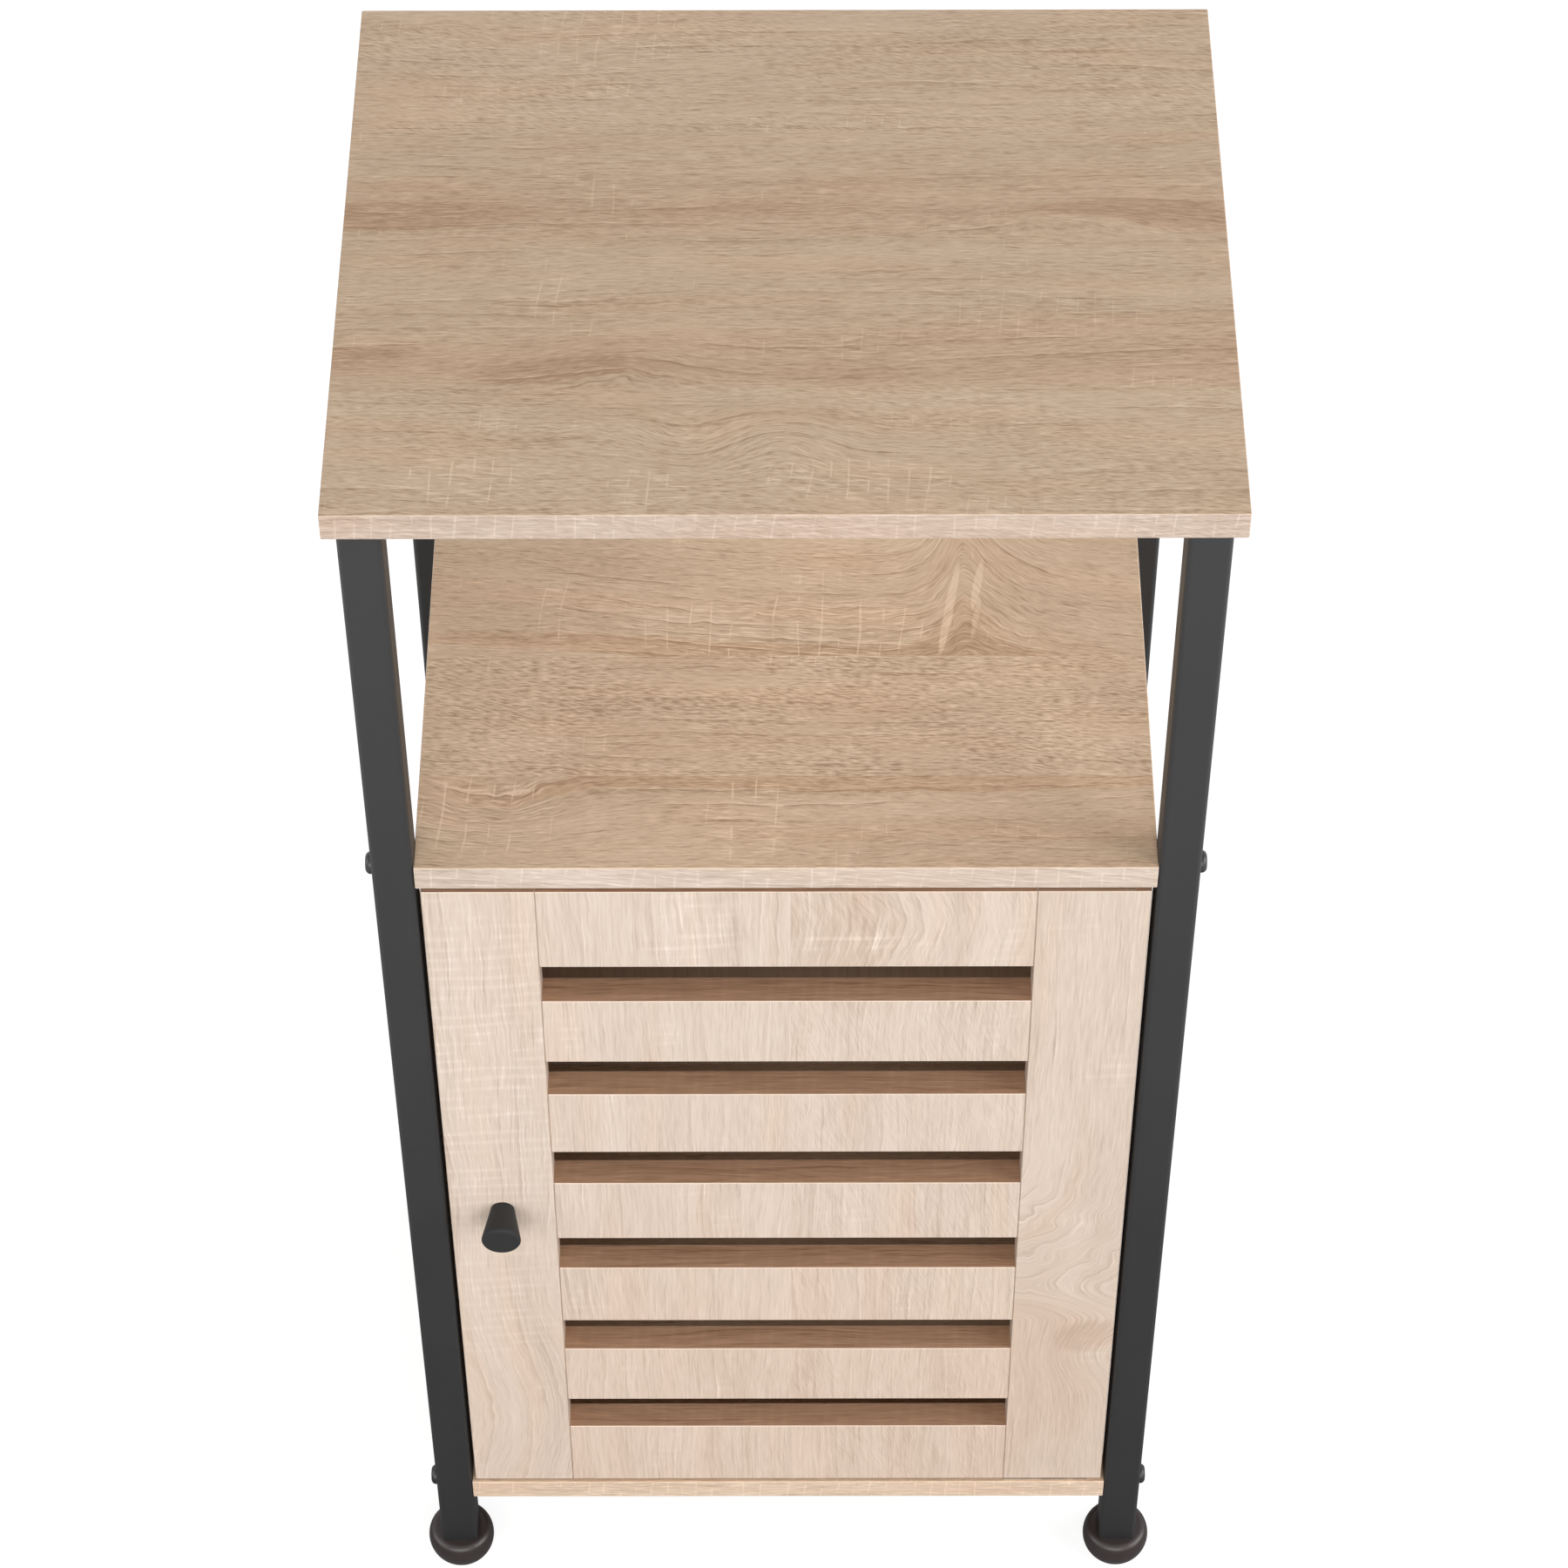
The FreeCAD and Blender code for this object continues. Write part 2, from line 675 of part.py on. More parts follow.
def make_strike():
    plate = new_node("strike_plate", ("catch_x", "door_back", "magnet_z"), BACK)
    pad(plate, "strike_thick", ("strike_width", "strike_height"))
    for x in strike_screw_places():
        countersink(plate, "strike_screw_dia", "strike_head_dia", "strike_thick",
                    (f"{x} - catch_x", "0", "strike_thick"), DOWN)
    screw = sunk_screw("strike_screw", "strike_screw_dia", "strike_thick + door_bite", "strike_head_dia",
                       "strike_thick")
    group("strike_screws", screw, [((x, "strike_front", "magnet_z"), FRONT) for x in strike_screw_places()])


def door_bars():
    """Name, height and middle height of each level piece of the door, from the bottom up."""
    bars = [("door_rail_bottom", "bottom_rail_height", "door_bottom + bottom_rail_height / 2")]
    for k in range(SLAT_COUNT):
        bars.append((f"door_slat_{SLAT_COUNT - k}", "slat_height", f"first_slat_z + {k} * slat_pitch"))
    bars.append(("door_rail_top", "top_rail_height", "door_top - top_rail_height / 2"))
    return bars


def door_dowel_levels():
    return [f"{middle} + {k} * door_dowel_pitch / 2" for _, _, middle in door_bars() for k in (-1, 1)]


def dowel_hole(body, at, direction):
    drill(body, "door_dowel_dia / 2 + fit", "door_dowel_length / 2 + hole_end_play", at, direction)


def make_stile(side, sign):
    body = board(f"door_stile_{side}", "stile_width", "door_thick", "door_height",
                 (signed(sign, "stile_x"), "door_y", "door_bottom"), "door_round")
    for z in door_dowel_levels():
        dowel_hole(body, (f"{-sign} * stile_width / 2", "0", f"{z} - door_bottom"),
                   RIGHT if sign > 0 else LEFT)
    return body


def make_hinge_stile():
    body = make_stile("right", 1)
    for level, into in (("0", UP), ("door_height", DOWN)):
        at = ("pivot_x - stile_x", "pivot_y - door_y", level)
        drill(body, "flange_dia / 2 + fit", "flange_sunk", at, into)
        drill(body, "bush_dia / 2 + fit", "bush_length", at, into)


def make_knob_stile():
    body = make_stile("left", -1)
    drill(body, "knob_screw_dia / 2 + bolt_hole_play", "2 * door_thick",
          ("0", "-door_thick", "knob_z - door_bottom"), BACK)


def make_door_bars():
    bars = {}
    for label, height, middle in door_bars():
        at = ("0", "door_y", f"{middle} - {height} / 2")
        bars[label] = board(label, "bar_length", "door_thick", height, at, "door_round")
        for sign, inwards in ((-1, RIGHT), (1, LEFT)):
            for k in (-1, 1):
                level = f"{height} / 2 + {k} * door_dowel_pitch / 2"
                dowel_hole(bars[label], (f"{sign} * bar_length / 2", "0", level), inwards)
    drill_for_strike(bars["door_rail_top"])


def drill_for_strike(rail):
    for x in strike_screw_places():
        drill(rail, "strike_screw_dia / 2 + fit", "door_bite + hole_end_play",
              (x, "door_thick / 2", "magnet_z - door_top + top_rail_height"), FRONT)


def make_door_dowels():
    dowel = master("door_dowel")
    rod(dowel, "door_dowel_dia / 2", "door_dowel_length")
    spots = []
    for sign in (-1, 1):
        for z in door_dowel_levels():
            spots.append(((f"{sign} * bar_length / 2 - door_dowel_length / 2", "door_y", z), RIGHT))
    group("door_dowels", dowel, spots)


def make_knob():
    """A turned cone, narrow at the door, with a rounded outer rim."""
    knob = new_node("knob", ("-stile_x", "door_front", "knob_z"), FRONT)
    feature(knob, "AdditiveCone", Radius1="knob_base_dia / 2", Radius2="knob_face_dia / 2",
            Height="knob_length")
    round_edges(knob, "knob_rim", raised_circle)
    drill(knob, "knob_screw_dia / 2 + fit", "knob_screw_bite + hole_end_play", HOME, UP)
    screw = pan_screw("door_screw", "knob_screw_dia", "door_thick + knob_screw_bite", "knob_head_dia",
                      "knob_head_height")
    group("knob_screw", screw, [(("-stile_x", "door_back", "knob_z"), FRONT)])


def make_frame():
    for side, i in SIDES.items():
        make_top_rail(side, i)
        for end, j in ENDS.items():
            make_leg(end, j, side, i)
            make_foot(end, j, side, i)
    make_frame_bolts()
    make_frame_inserts()
    make_top_screws()


def make_carcass():
    make_top_board()
    make_shelf_board()
    make_bottom_board()
    for side, sign in SIDES.items():
        make_side_panel(side, sign)
    make_back_panel()
    make_cam_bolts()
    make_cam_locks()
    make_carcass_dowels()


def make_hinges_and_catch():
    make_hinge_plate("hinge_plate_top", "shelf_z", DOWN)
    make_hinge_plate("hinge_plate_bottom", "bottom_height", UP)
    make_hinge_screws()
    make_hinge_bush("hinge_bush_top", "door_top", DOWN)
    make_hinge_bush("hinge_bush_bottom", "door_bottom", UP)
    make_catch()
    make_strike()


def make_door():
    make_knob_stile()
    make_hinge_stile()
    make_door_bars()
    make_door_dowels()
    make_knob()


def check_model():
    doc.recompute()
    for item in doc.Objects:
        if "Invalid" in item.State or "Error" in item.State:
            raise RuntimeError(f"{item.Label} failed: {item.State}")
    for node in nodes:
        if node.Shape.isNull() or not node.Shape.isValid():
            raise RuntimeError(f"{node.Label} has no valid shape")


def write_parts():
    os.makedirs("parts", exist_ok=True)
    for node in nodes:
        node.Shape.exportStep(f"parts/{node.Label}.step")


fill_sheet()
make_frame()
make_carcass()
make_hinges_and_catch()
make_door()
check_model()
write_parts()
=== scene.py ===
"""Looks of the side cabinet: finishes for every piece, the studio and the camera.

Object coordinates are metres in the cabinet's frame: X to the right, Y to the back, Z up.
Grain and surface patterns are written in millimetres.
"""

import math

import bpy
from mathutils import Matrix, Vector

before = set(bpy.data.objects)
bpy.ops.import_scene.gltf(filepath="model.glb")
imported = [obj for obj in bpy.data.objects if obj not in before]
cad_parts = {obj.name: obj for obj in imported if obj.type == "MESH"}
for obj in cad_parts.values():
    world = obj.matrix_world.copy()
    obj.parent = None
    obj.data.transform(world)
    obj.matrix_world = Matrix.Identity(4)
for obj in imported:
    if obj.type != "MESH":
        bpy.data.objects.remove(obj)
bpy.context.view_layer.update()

MM_PER_M = 1000.0

# Camera, fitted to the photograph, in metres, millimetres and degrees: nearly straight on, and looking
# steeply down.
CAMERA_PLACE = (0.00327, -1.58271, 2.34935)
CAMERA_LENS_MM = 109.92
CAMERA_SENSOR_MM = 36.0
CAMERA_DOWN_DEG = 49.531
CAMERA_TURN_DEG = 0.1635
CAMERA_ROLL_DEG = -0.2166

# Studio, in metres, degrees and watts: a broad lamp in front, one at each side, a weaker one behind
# and a faint one overhead.
# The floor returns light as a mid grey, and glows so that the camera sees it white. Mirrored in the
# legs, the glow sets in over the first span of distances. Far out, where the lamps hardly reach, it
# grows to full white over the second.
WHITE = (1.0, 1.0, 1.0, 1.0)
STAGE_SIZE = 14.0
FLOOR_COLOUR = (0.28, 0.28, 0.28, 1.0)
FLOOR_ROUGHNESS = 0.9
FLOOR_GLOW = 0.83
FLOOR_MIRROR_SPAN = (0.46, 1.02)
FLOOR_UNLIT_SPAN = (1.2, 4.0)
WORLD_FILL = 0.15
LAMP_AIM = (0.0, 0.0, 0.5)
LAMP_REACH = 5.0
LAMPS = {
    "front_lamp": {"turn": -4.0, "rise": 25.0, "size": (4.3, 2.7), "watts": 175.0},
    "left_lamp": {"turn": -75.0, "rise": 25.0, "size": (4.3, 3.3), "watts": 100.0},
    "right_lamp": {"turn": 75.0, "rise": 25.0, "size": (4.7, 3.7), "watts": 250.0},
    "back_lamp": {"turn": 180.0, "rise": 30.0, "size": (4.3, 2.7), "watts": 44.0},
    "top_lamp": {"turn": 180.0, "rise": 85.0, "size": (3.7, 3.7), "watts": 10.0},
}
HIDDEN_IN_GLOSS = ("back_lamp", "top_lamp")


class Field:
    """A number that varies over a surface. Arithmetic on it adds maths nodes."""

    def __init__(self, shader, socket):
        self.shader = shader
        self.socket = socket

    def __add__(self, other):
        return self.shader.maths("ADD", self, other)

    def __radd__(self, other):
        return self.shader.maths("ADD", other, self)

    def __sub__(self, other):
        return self.shader.maths("SUBTRACT", self, other)

    def __rsub__(self, other):
        return self.shader.maths("SUBTRACT", other, self)

    def __mul__(self, other):
        return self.shader.maths("MULTIPLY", self, other)

    def __truediv__(self, other):
        return self.shader.maths("DIVIDE", self, other)


def put(tree, socket, value):
    """Sets a socket, or links it where the value is a field or another socket."""
    if isinstance(value, Field):
        value = value.socket
    if isinstance(value, bpy.types.NodeSocket):
        tree.links.new(value, socket)
    else:
        socket.default_value = value


def swing(noise, amount):
    """Noise moved to swing about zero instead of a half, times an amount."""
    return (noise - 0.5) * amount


def partly(share, part):
    """A share that counts only in part: what it leaves is always there."""
    return share * part + (1.0 - part)


# How far a surface has to face along an axis to be a face there, and to be a flat end of a door piece.
FACE_LIMIT = 0.65
FLAT_LIMIT = 0.97

# Rounded edges, by how far the surface faces along an axis: along its nearest one, where the rounding
# fades into a face, and along X, where the rounding beside a side face starts and ends.
ARRIS_SPAN = (0.84, 0.98)
JOINT_START = (0.10, 0.40)
JOINT_END = (0.94, 0.99)


class Shader:
    """One node material. Most methods add nodes and give back what they put out."""

    def __init__(self, name):
        self.material = bpy.data.materials.new(name)
        self.material.use_nodes = True
        self.tree = self.material.node_tree
        self.tree.nodes.clear()
        self.surface = self.node("ShaderNodeBsdfPrincipled")
        output = self.node("ShaderNodeOutputMaterial")
        self.tree.links.new(self.surface.outputs["BSDF"], output.inputs["Surface"])
        where = self.node("ShaderNodeTexCoord")
        self.x, self.y, self.z = self.parts(self.scaled(where.outputs["Object"], MM_PER_M))
        self.facing = where.outputs["Normal"]

    def node(self, kind, **settings):
        made = self.tree.nodes.new(kind)
        for name, value in settings.items():
            setattr(made, name, value)
        return made

    def put(self, socket, value):
        put(self.tree, socket, value)

    def maths(self, operation, *values):
        made = self.node("ShaderNodeMath", operation=operation)
        for socket, value in zip(made.inputs, values):
            self.put(socket, value)
        return Field(self, made.outputs[0])

    def scaled(self, vector, factor):
        made = self.node("ShaderNodeVectorMath", operation="SCALE")
        self.put(made.inputs[0], vector)
        self.put(made.inputs["Scale"], factor)
        return made.outputs[0]

    def parts(self, vector):
        made = self.node("ShaderNodeSeparateXYZ")
        self.put(made.inputs[0], vector)
        return [Field(self, socket) for socket in made.outputs]

    def joined(self, *values):
        made = self.node("ShaderNodeCombineXYZ")
        for socket, value in zip(made.inputs, values):
            self.put(socket, value)
        return made.outputs[0]

    def noise(self, u, v, w=0.0, detail=1.0, rough=0.5):
        """Smooth noise about one unit across, mostly between 0.25 and 0.75."""
        made = self.node("ShaderNodeTexNoise", noise_dimensions="3D")
        self.put(made.inputs["Vector"], self.joined(u, v, w))
        made.inputs["Scale"].default_value = 1.0
        made.inputs["Detail"].default_value = detail
        made.inputs["Roughness"].default_value = rough
        return Field(self, made.outputs["Fac"])

    def layer(self, grain, along, across, seed=0.0):
        """One layer of noise along and across the grain."""
        u = along / grain.along
        v = across / grain.across
        return self.noise(u, v, seed + grain.seed, detail=grain.detail)

    def lumps(self, size, detail=2.0):
        """Noise all through the piece, with lumps of a size in millimetres along X, Y and Z."""
        wide, deep, tall = size
        return self.noise(self.x / wide, self.y / deep, self.z / tall, detail=detail)

    def sheet(self, size, seed, detail, rough=0.5):
        """Noise on an upright sheet, with spots of a size in millimetres along X and Z."""
        wide, tall = size
        return self.noise(self.x / wide, self.z / tall, seed, detail=detail, rough=rough)

    def ramp(self, value, low, high):
        """Eases from 0 at low to 1 at high."""
        made = self.node("ShaderNodeMapRange", interpolation_type="SMOOTHSTEP")
        self.put(made.inputs["Value"], value)
        made.inputs["From Min"].default_value = low
        made.inputs["From Max"].default_value = high
        return Field(self, made.outputs["Result"])

    def above(self, value, limit):
        return self.maths("GREATER_THAN", value, limit)

    def bell(self, u, v):
        """1 at the middle, falling away to 0 about two units out."""
        squares = self.maths("MULTIPLY", u, u) + self.maths("MULTIPLY", v, v)
        return self.maths("POWER", math.e, squares * -1.0)

    def blend(self, share, first, second):
        """A colour between two, by the share of the second."""
        made = self.node("ShaderNodeMix", data_type="RGBA")
        self.put(made.inputs["Factor"], share)
        colours = [socket for socket in made.inputs if socket.type == "RGBA"]
        self.put(colours[0], first)
        self.put(colours[1], second)
        return next(socket for socket in made.outputs if socket.type == "RGBA")

    def tinted(self, colour, tint):
        """A colour multiplied by another."""
        made = self.node("ShaderNodeMix", data_type="RGBA", blend_type="MULTIPLY")
        made.inputs["Factor"].default_value = 1.0
        colours = [socket for socket in made.inputs if socket.type == "RGBA"]
        self.put(colours[0], colour)
        self.put(colours[1], tint)
        return next(socket for socket in made.outputs if socket.type == "RGBA")

    def colour_ramp(self, value, middle):
        """From a dark shade at 0, through the middle colour, to a pale one at 1."""
        made = self.node("ShaderNodeValToRGB")
        self.put(made.inputs["Fac"], value)
        stops = made.color_ramp.elements
        stops.new(MIDDLE_TONE)
        for stop, shares in zip(stops, (DARK_SHARE, (1.0, 1.0, 1.0), PALE_SHARE)):
            stop.color = [part * share for part, share in zip(middle, shares)] + [1.0]
        return made.outputs["Color"]

    def facing_shares(self):
        """Whether the surface faces along X, Y and Z, each 0 or 1."""
        shares = [self.maths("ABSOLUTE", part) for part in self.parts(self.facing)]
        return [self.above(share, FACE_LIMIT) for share in shares]

    def arris(self):
        """1 on rounded edges and 0 on faces; then the same for only those beside a side face."""
        across, deep, tall = [self.maths("ABSOLUTE", part) for part in self.parts(self.facing)]
        most = self.maths("MAXIMUM", self.maths("MAXIMUM", across, deep), tall)
        side_joint = self.ramp(across, *JOINT_START) * (1.0 - self.ramp(across, *JOINT_END))
        return 1.0 - self.ramp(most, *ARRIS_SPAN), side_joint

    def finish(self, colour, roughness, height, depth_mm, **constants):
        """Links the varying colour and roughness, sets the constants and adds the relief."""
        self.put(self.surface.inputs["Base Color"], colour)
        self.put(self.surface.inputs["Roughness"], roughness)
        for name, value in constants.items():
            self.surface.inputs[name.replace("_", " ")].default_value = value
        relief = self.node("ShaderNodeBump")
        relief.inputs["Distance"].default_value = depth_mm / MM_PER_M
        self.put(relief.inputs["Height"], height)
        self.tree.links.new(relief.outputs["Normal"], self.surface.inputs["Normal"])
        return self.material


def colour(red, green, blue):
    return (red, green, blue, 1.0)


FLAT_GRAIN = "flat"
DOOR_GRAIN = "door"
SIDE_GRAIN = "side"

# Printed oak: the middle colour of a face, and of the edges of each piece. Some of these colours carry
# painted light or painted shade, as noted at each.
TOP_OAK = (0.520, 0.384, 0.270)
# The shelf's face, also used on the bottom board, is paler than the top's: painted light that makes up for
# the shade in the open bay under the top board.
SHELF_OAK_PAINTED_LIGHT = (0.610, 0.446, 0.308)
TOP_EDGE_OAK = (0.580, 0.455, 0.367)
SHELF_EDGE_OAK = (0.656, 0.538, 0.446)
BOTTOM_EDGE_OAK = (0.760, 0.577, 0.430)
# The door's face is paler again: in part the print's own tone, in part painted light for the stronger light
# on front faces.
DOOR_OAK_AND_PAINTED_LIGHT = (0.736, 0.610, 0.510)
# The flat ends of the door pieces, such as the slat tops in the slots, are a dark brown: painted shade.
DOOR_END_PAINTED_SHADE = (0.392, 0.238, 0.148)

# What its darkest, palest and warm places multiply that colour by.
DARK_SHARE = (0.62, 0.56, 0.50)
PALE_SHARE = (1.27, 1.32, 1.38)
WARM_SHARE = (1.02, 0.960, 0.925, 1.0)


class Layer:
    """One layer of noise in the print: its size along and across the grain in millimetres, its seed and
    detail, and the span of values over which it comes to show."""

    def __init__(self, along, across, seed, detail=1.0, shows=None):
        self.along = along
        self.across = across
        self.seed = seed
        self.detail = detail
        self.shows = shows


# Layers that shift the lines of the grain, and how far, in millimetres. A bow sets in over its ease.
DRIFTS = Layer(150.0, 50.0, 0.0)
DRIFT = 12.0
WOBBLES = Layer(13.0, 5.0, 3.0)
WOBBLE = 1.6
RIPPLES = Layer(15.0, 11.0, 5.0)
RIPPLE = 8.0
BOW_WAVER = Layer(22.0, 40.0, 0.0, detail=1.5)
BOW_EASE = 36.0

# Growth rings: their width in millimetres, how many of them the drift moves a line by, and how sharply
# their dark late wood and pale early wood stand out.
RING_WIDTH = 9.5
RING_DRIFTS = Layer(240.0, 45.0, 7.0)
RING_DRIFT = 2.4
RING_AREA = Layer(110.0, 26.0, 13.0, shows=(0.46, 0.62))
LATE_WOOD_POWER = 6.0
EARLY_WOOD_POWER = 14.0

# Layers that darken and lighten the print.
BROAD = Layer(220.0, 16.0, 11.0)
CLOUD = Layer(60.0, 22.0, 41.0, detail=2.0)
STREAK = Layer(60.0, 2.0, 29.0, shows=(0.62, 0.74))
FINE = Layer(5.0, 0.62, 37.0)
HAIR = Layer(12.0, 1.05, 23.0, detail=2.0, shows=(0.53, 0.67))
FLECK = Layer(4.6, 0.8, 51.0, detail=0.5, shows=(0.54, 0.66))
FLECK_AREA = Layer(90.0, 30.0, 57.0, shows=(0.25, 0.60))
WARMTH = Layer(120.0, 20.0, 83.0, shows=(0.45, 0.70))

# How far each part of the print moves its tone, which runs from 0, the darkest, to 1, the palest.
MIDDLE_TONE = 0.5
BROAD_TONE = 0.40
CLOUD_TONE = 0.30
STREAK_TONE = 0.24
FINE_TONE = 0.42
HAIR_TONE = 0.13
PALE_FLECK_TONE = 0.20
DARK_FLECK_TONE = 0.18
EARLY_WOOD_TONE = 0.30
LATE_WOOD_TONE = 0.18
BROWN_TONE = 0.16
PALE_TONE = 0.6
# The rounded edges are lifted paler: a painted highlight.
EDGE_HIGHLIGHT_TONE = 0.2

# How much of the warm colour the layer of warmth brings in, and how far pale patches lean.
WARMTH_PART = 0.6
PALE_LEAN = 0.17

# Saw marks: where they stray outside their patches, how strong they are there and on edges, how far
# they sway and lean, how wide they are inside and out in shares of their width, where they break off,
# and how far pale hairlines stand out among them.
SAW_STRAYS = Layer(60.0, 24.0, 70.0, shows=(0.60, 0.70))
SAW_STRAY = 0.45
SAW_ON_EDGE = 0.5
SAW_SWAYS = Layer(25.0, 60.0, 60.0)
SAW_SWAY = 0.9
SAW_LEAN = 0.08
SAW_CORE = 0.2
SAW_RIM = 0.8
SAW_BREAK_STEP = 3.7
SAW_BREAK_SEED = 63.0
SAW_BREAK_SPAN = (0.40, 0.56)
SAW_HAIR = 0.4

# How far apart in the noise the edges of a piece lie from its faces, and one bar from the next.
EDGE_SEED = 5.3
BAR_SEED = 3.3

# The surface of the print, and its pores.
OAK_ROUGHNESS = 0.50
PORE_ROUGHNESS = 0.06
PORE_DEPTH_MM = 0.012
OAK_SHINE = 0.4


def grain_directions(s, direction):
    """Millimetres along and across the grain, and where the surface is an edge of the piece."""
    x_face, y_face, z_face = s.facing_shares()
    if direction == FLAT_GRAIN:
        along = s.x + (s.y - s.x) * x_face
        across = s.z + (s.y - s.z) * z_face
        return along, across, 1.0 - z_face
    if direction == DOOR_GRAIN:
        along = s.z + (s.x - s.z) * z_face
        across = s.y + (s.x - s.y) * y_face
        # On the door the edge is each piece's flat ends, which take the painted shade.
        return along, across, s.above(s.maths("ABSOLUTE", s.parts(s.facing)[2]), FLAT_LIMIT)
    across = s.x + (s.y - s.x) * x_face
    return s.z, across, 1.0 - x_face


class Plank:
    """One printed plank: where it starts across the grain, and what its grain is like."""

    def __init__(self, start, seed, slope=0.0, flecks=0.3, lean=0.06, tone=0.0):
        self.start = start
        self.seed = seed
        self.slope = slope
        self.flecks = flecks
        self.lean = lean
        self.tone = tone


class Figure:
    """A place where the grain bends: its middle and reach, how far it lifts the lines, and how much the
    rings gain there."""

    def __init__(self, along, across, reach_along, reach_across, rise, depth=0.4):
        self.along = along
        self.across = across
        self.reach_along = reach_along
        self.reach_across = reach_across
        self.rise = rise
        self.depth = depth

    def bend(self, s, along, across):
        """How far the lines shift at a point, and how near the figure is."""
        near = s.bell((along - self.along) / self.reach_along, (across - self.across) / self.reach_across)
        return near * self.rise, near * self.depth


class Flame:
    """A place where the lines of a plank draw up to a point beside its seam, further on one side.

    Close to the point, within the core, no rings show.
    """

    def __init__(self, along, across, reach_before, reach_after, core, tip, pull, lift, depth):
        self.along = along
        self.across = across
        self.reach_before = reach_before
        self.reach_after = reach_after
        self.core = core
        self.tip = tip
        self.pull = pull
        self.lift = lift
        self.depth = depth

    def bend(self, s, along, across):
        """How far the lines shift at a point, and how strong the rings are there."""
        off = along - self.along
        distance = s.maths("SQRT", off * off + self.tip * self.tip) - self.tip
        steepness = 1.0 / self.reach_after - 1.0 / self.reach_before
        fade = s.above(off, 0.0) * -steepness - 1.0 / self.reach_before
        near = s.maths("POWER", math.e, distance * fade)
        shift = (across - self.across) * near * -self.pull - near * self.lift
        outside = 1.0 - s.bell(off / self.core, 0.0)
        return shift, near * outside * self.depth


class Bow:
    """A place where lines that come down a plank bow round to its side, and waver as they do."""

    def __init__(self, along, across, low, squeeze=0.6, waver=16.0, depth=0.8):
        self.along = along
        self.across = across
        self.low = low
        self.squeeze = squeeze
        self.waver = waver
        self.depth = depth

    def bend(self, s, along, across):
        """How far the lines shift at a point, and how strong the rings are there."""
        fall = s.maths("MAXIMUM", self.along - along, 0.0) * self.squeeze
        out = across - self.across
        radius = s.maths("SQRT", fall * fall + out * out)
        held = s.ramp(along, self.low, self.low + BOW_EASE)
        turned = s.ramp(fall, 0.0, BOW_EASE) * held
        hills = s.layer(BOW_WAVER, along, across, self.along)
        return (radius - out) * held + swing(hills, turned) * self.waver, turned * self.depth


class Patch:
    """A place in the print: its middle, its reach, how strong it is, and how soft its outline."""

    def __init__(self, along, across, reach_along, reach_across, strength=1.0, soft=0.12):
        self.along = along
        self.across = across
        self.reach_along = reach_along
        self.reach_across = reach_across
        self.strength = strength
        self.soft = soft

    def share(self, s, along, across):
        """1 inside the patch and 0 outside it."""
        near = s.bell((along - self.along) / self.reach_along, (across - self.across) / self.reach_across)
        outline = math.exp(-1.0)
        return s.ramp(near, outline - self.soft, outline + self.soft) * self.strength


class Look:
    """What a print is like all over: its colours, its lines, its saw marks, and how dark its joints are."""

    def __init__(self, face, edge, lines=1.0, edge_lines=1.0, clouds=1.0, stretch=1.0,
                 saw_pitch=8.6, saw_width=0.8, saw_length=11.0, saw_strength=0.85, joints=0.0):
        self.face = face
        self.edge = edge
        self.lines = lines
        self.edge_lines = edge_lines
        self.clouds = clouds
        self.stretch = stretch
        self.saw_pitch = saw_pitch
        self.saw_width = saw_width
        self.saw_length = saw_length
        self.saw_strength = saw_strength
        self.joints = joints


class Print:
    """The layout of one printed board: its planks and figures, and its brown, warm, pale and sawn patches.

    A row of bars that share one print has a pitch, and each bar then shows another stretch of it.
    """

    def __init__(self, planks, figures=(), brown=(), warm=(), pale=(), sawn=(),
                 first_bar=0.0, bar_pitch=0.0):
        self.planks = planks
        self.figures = figures
        self.brown = brown
        self.warm = warm
        self.pale = pale
        self.sawn = sawn
        self.first_bar = first_bar
        self.bar_pitch = bar_pitch


def by_plank(s, across, planks, quality):
    """A number that changes from plank to plank."""
    value = getattr(planks[0], quality)
    for before, plank in zip(planks, planks[1:]):
        step = getattr(plank, quality) - getattr(before, quality)
        if step:
            value = s.above(across, plank.start) * step + value
    return value


def same_plank(s, across, planks, place):
    """1 on the plank that a place is on, and 0 on the others."""
    starts = [plank.start for plank in planks]
    share = s.above(across, max(start for start in starts if start <= place))
    for start in starts:
        if start > place:
            share = share * (1.0 - s.above(across, start))
    return share


def bent_lines(s, along, across, edge, layout, seed):
    """The line of the grain that a point lies on, in millimetres, and how near a figure is."""
    drift = s.layer(DRIFTS, along, across, seed)
    line = across + swing(drift, DRIFT) + along * by_plank(s, across, layout.planks, "slope")
    swirl = 0.0
    for figure in layout.figures:
        shift, near = figure.bend(s, along, across)
        plank = same_plank(s, across, layout.planks, figure.across) * (1.0 - edge)
        line = line + shift * plank
        swirl = near * plank + swirl
    ripple = s.layer(RIPPLES, along, across, seed)
    line = line + swing(ripple, swirl) * RIPPLE
    wobble = s.layer(WOBBLES, along, across, seed)
    return line + swing(wobble, WOBBLE), swirl


def growth_rings(s, along, line, seed, swirl):
    """The dark late wood and the pale early wood of the rings, stronger near a figure."""
    drift = s.layer(RING_DRIFTS, along, line, seed)
    ring = s.maths("FRACT", line / RING_WIDTH + drift * RING_DRIFT)
    area = s.ramp(s.layer(RING_AREA, along, line, seed), *RING_AREA.shows) + swirl
    late_wood = s.maths("POWER", ring, LATE_WOOD_POWER) * area
    early_wood = s.maths("POWER", 1.0 - ring, EARLY_WOOD_POWER) * area
    return late_wood, early_wood


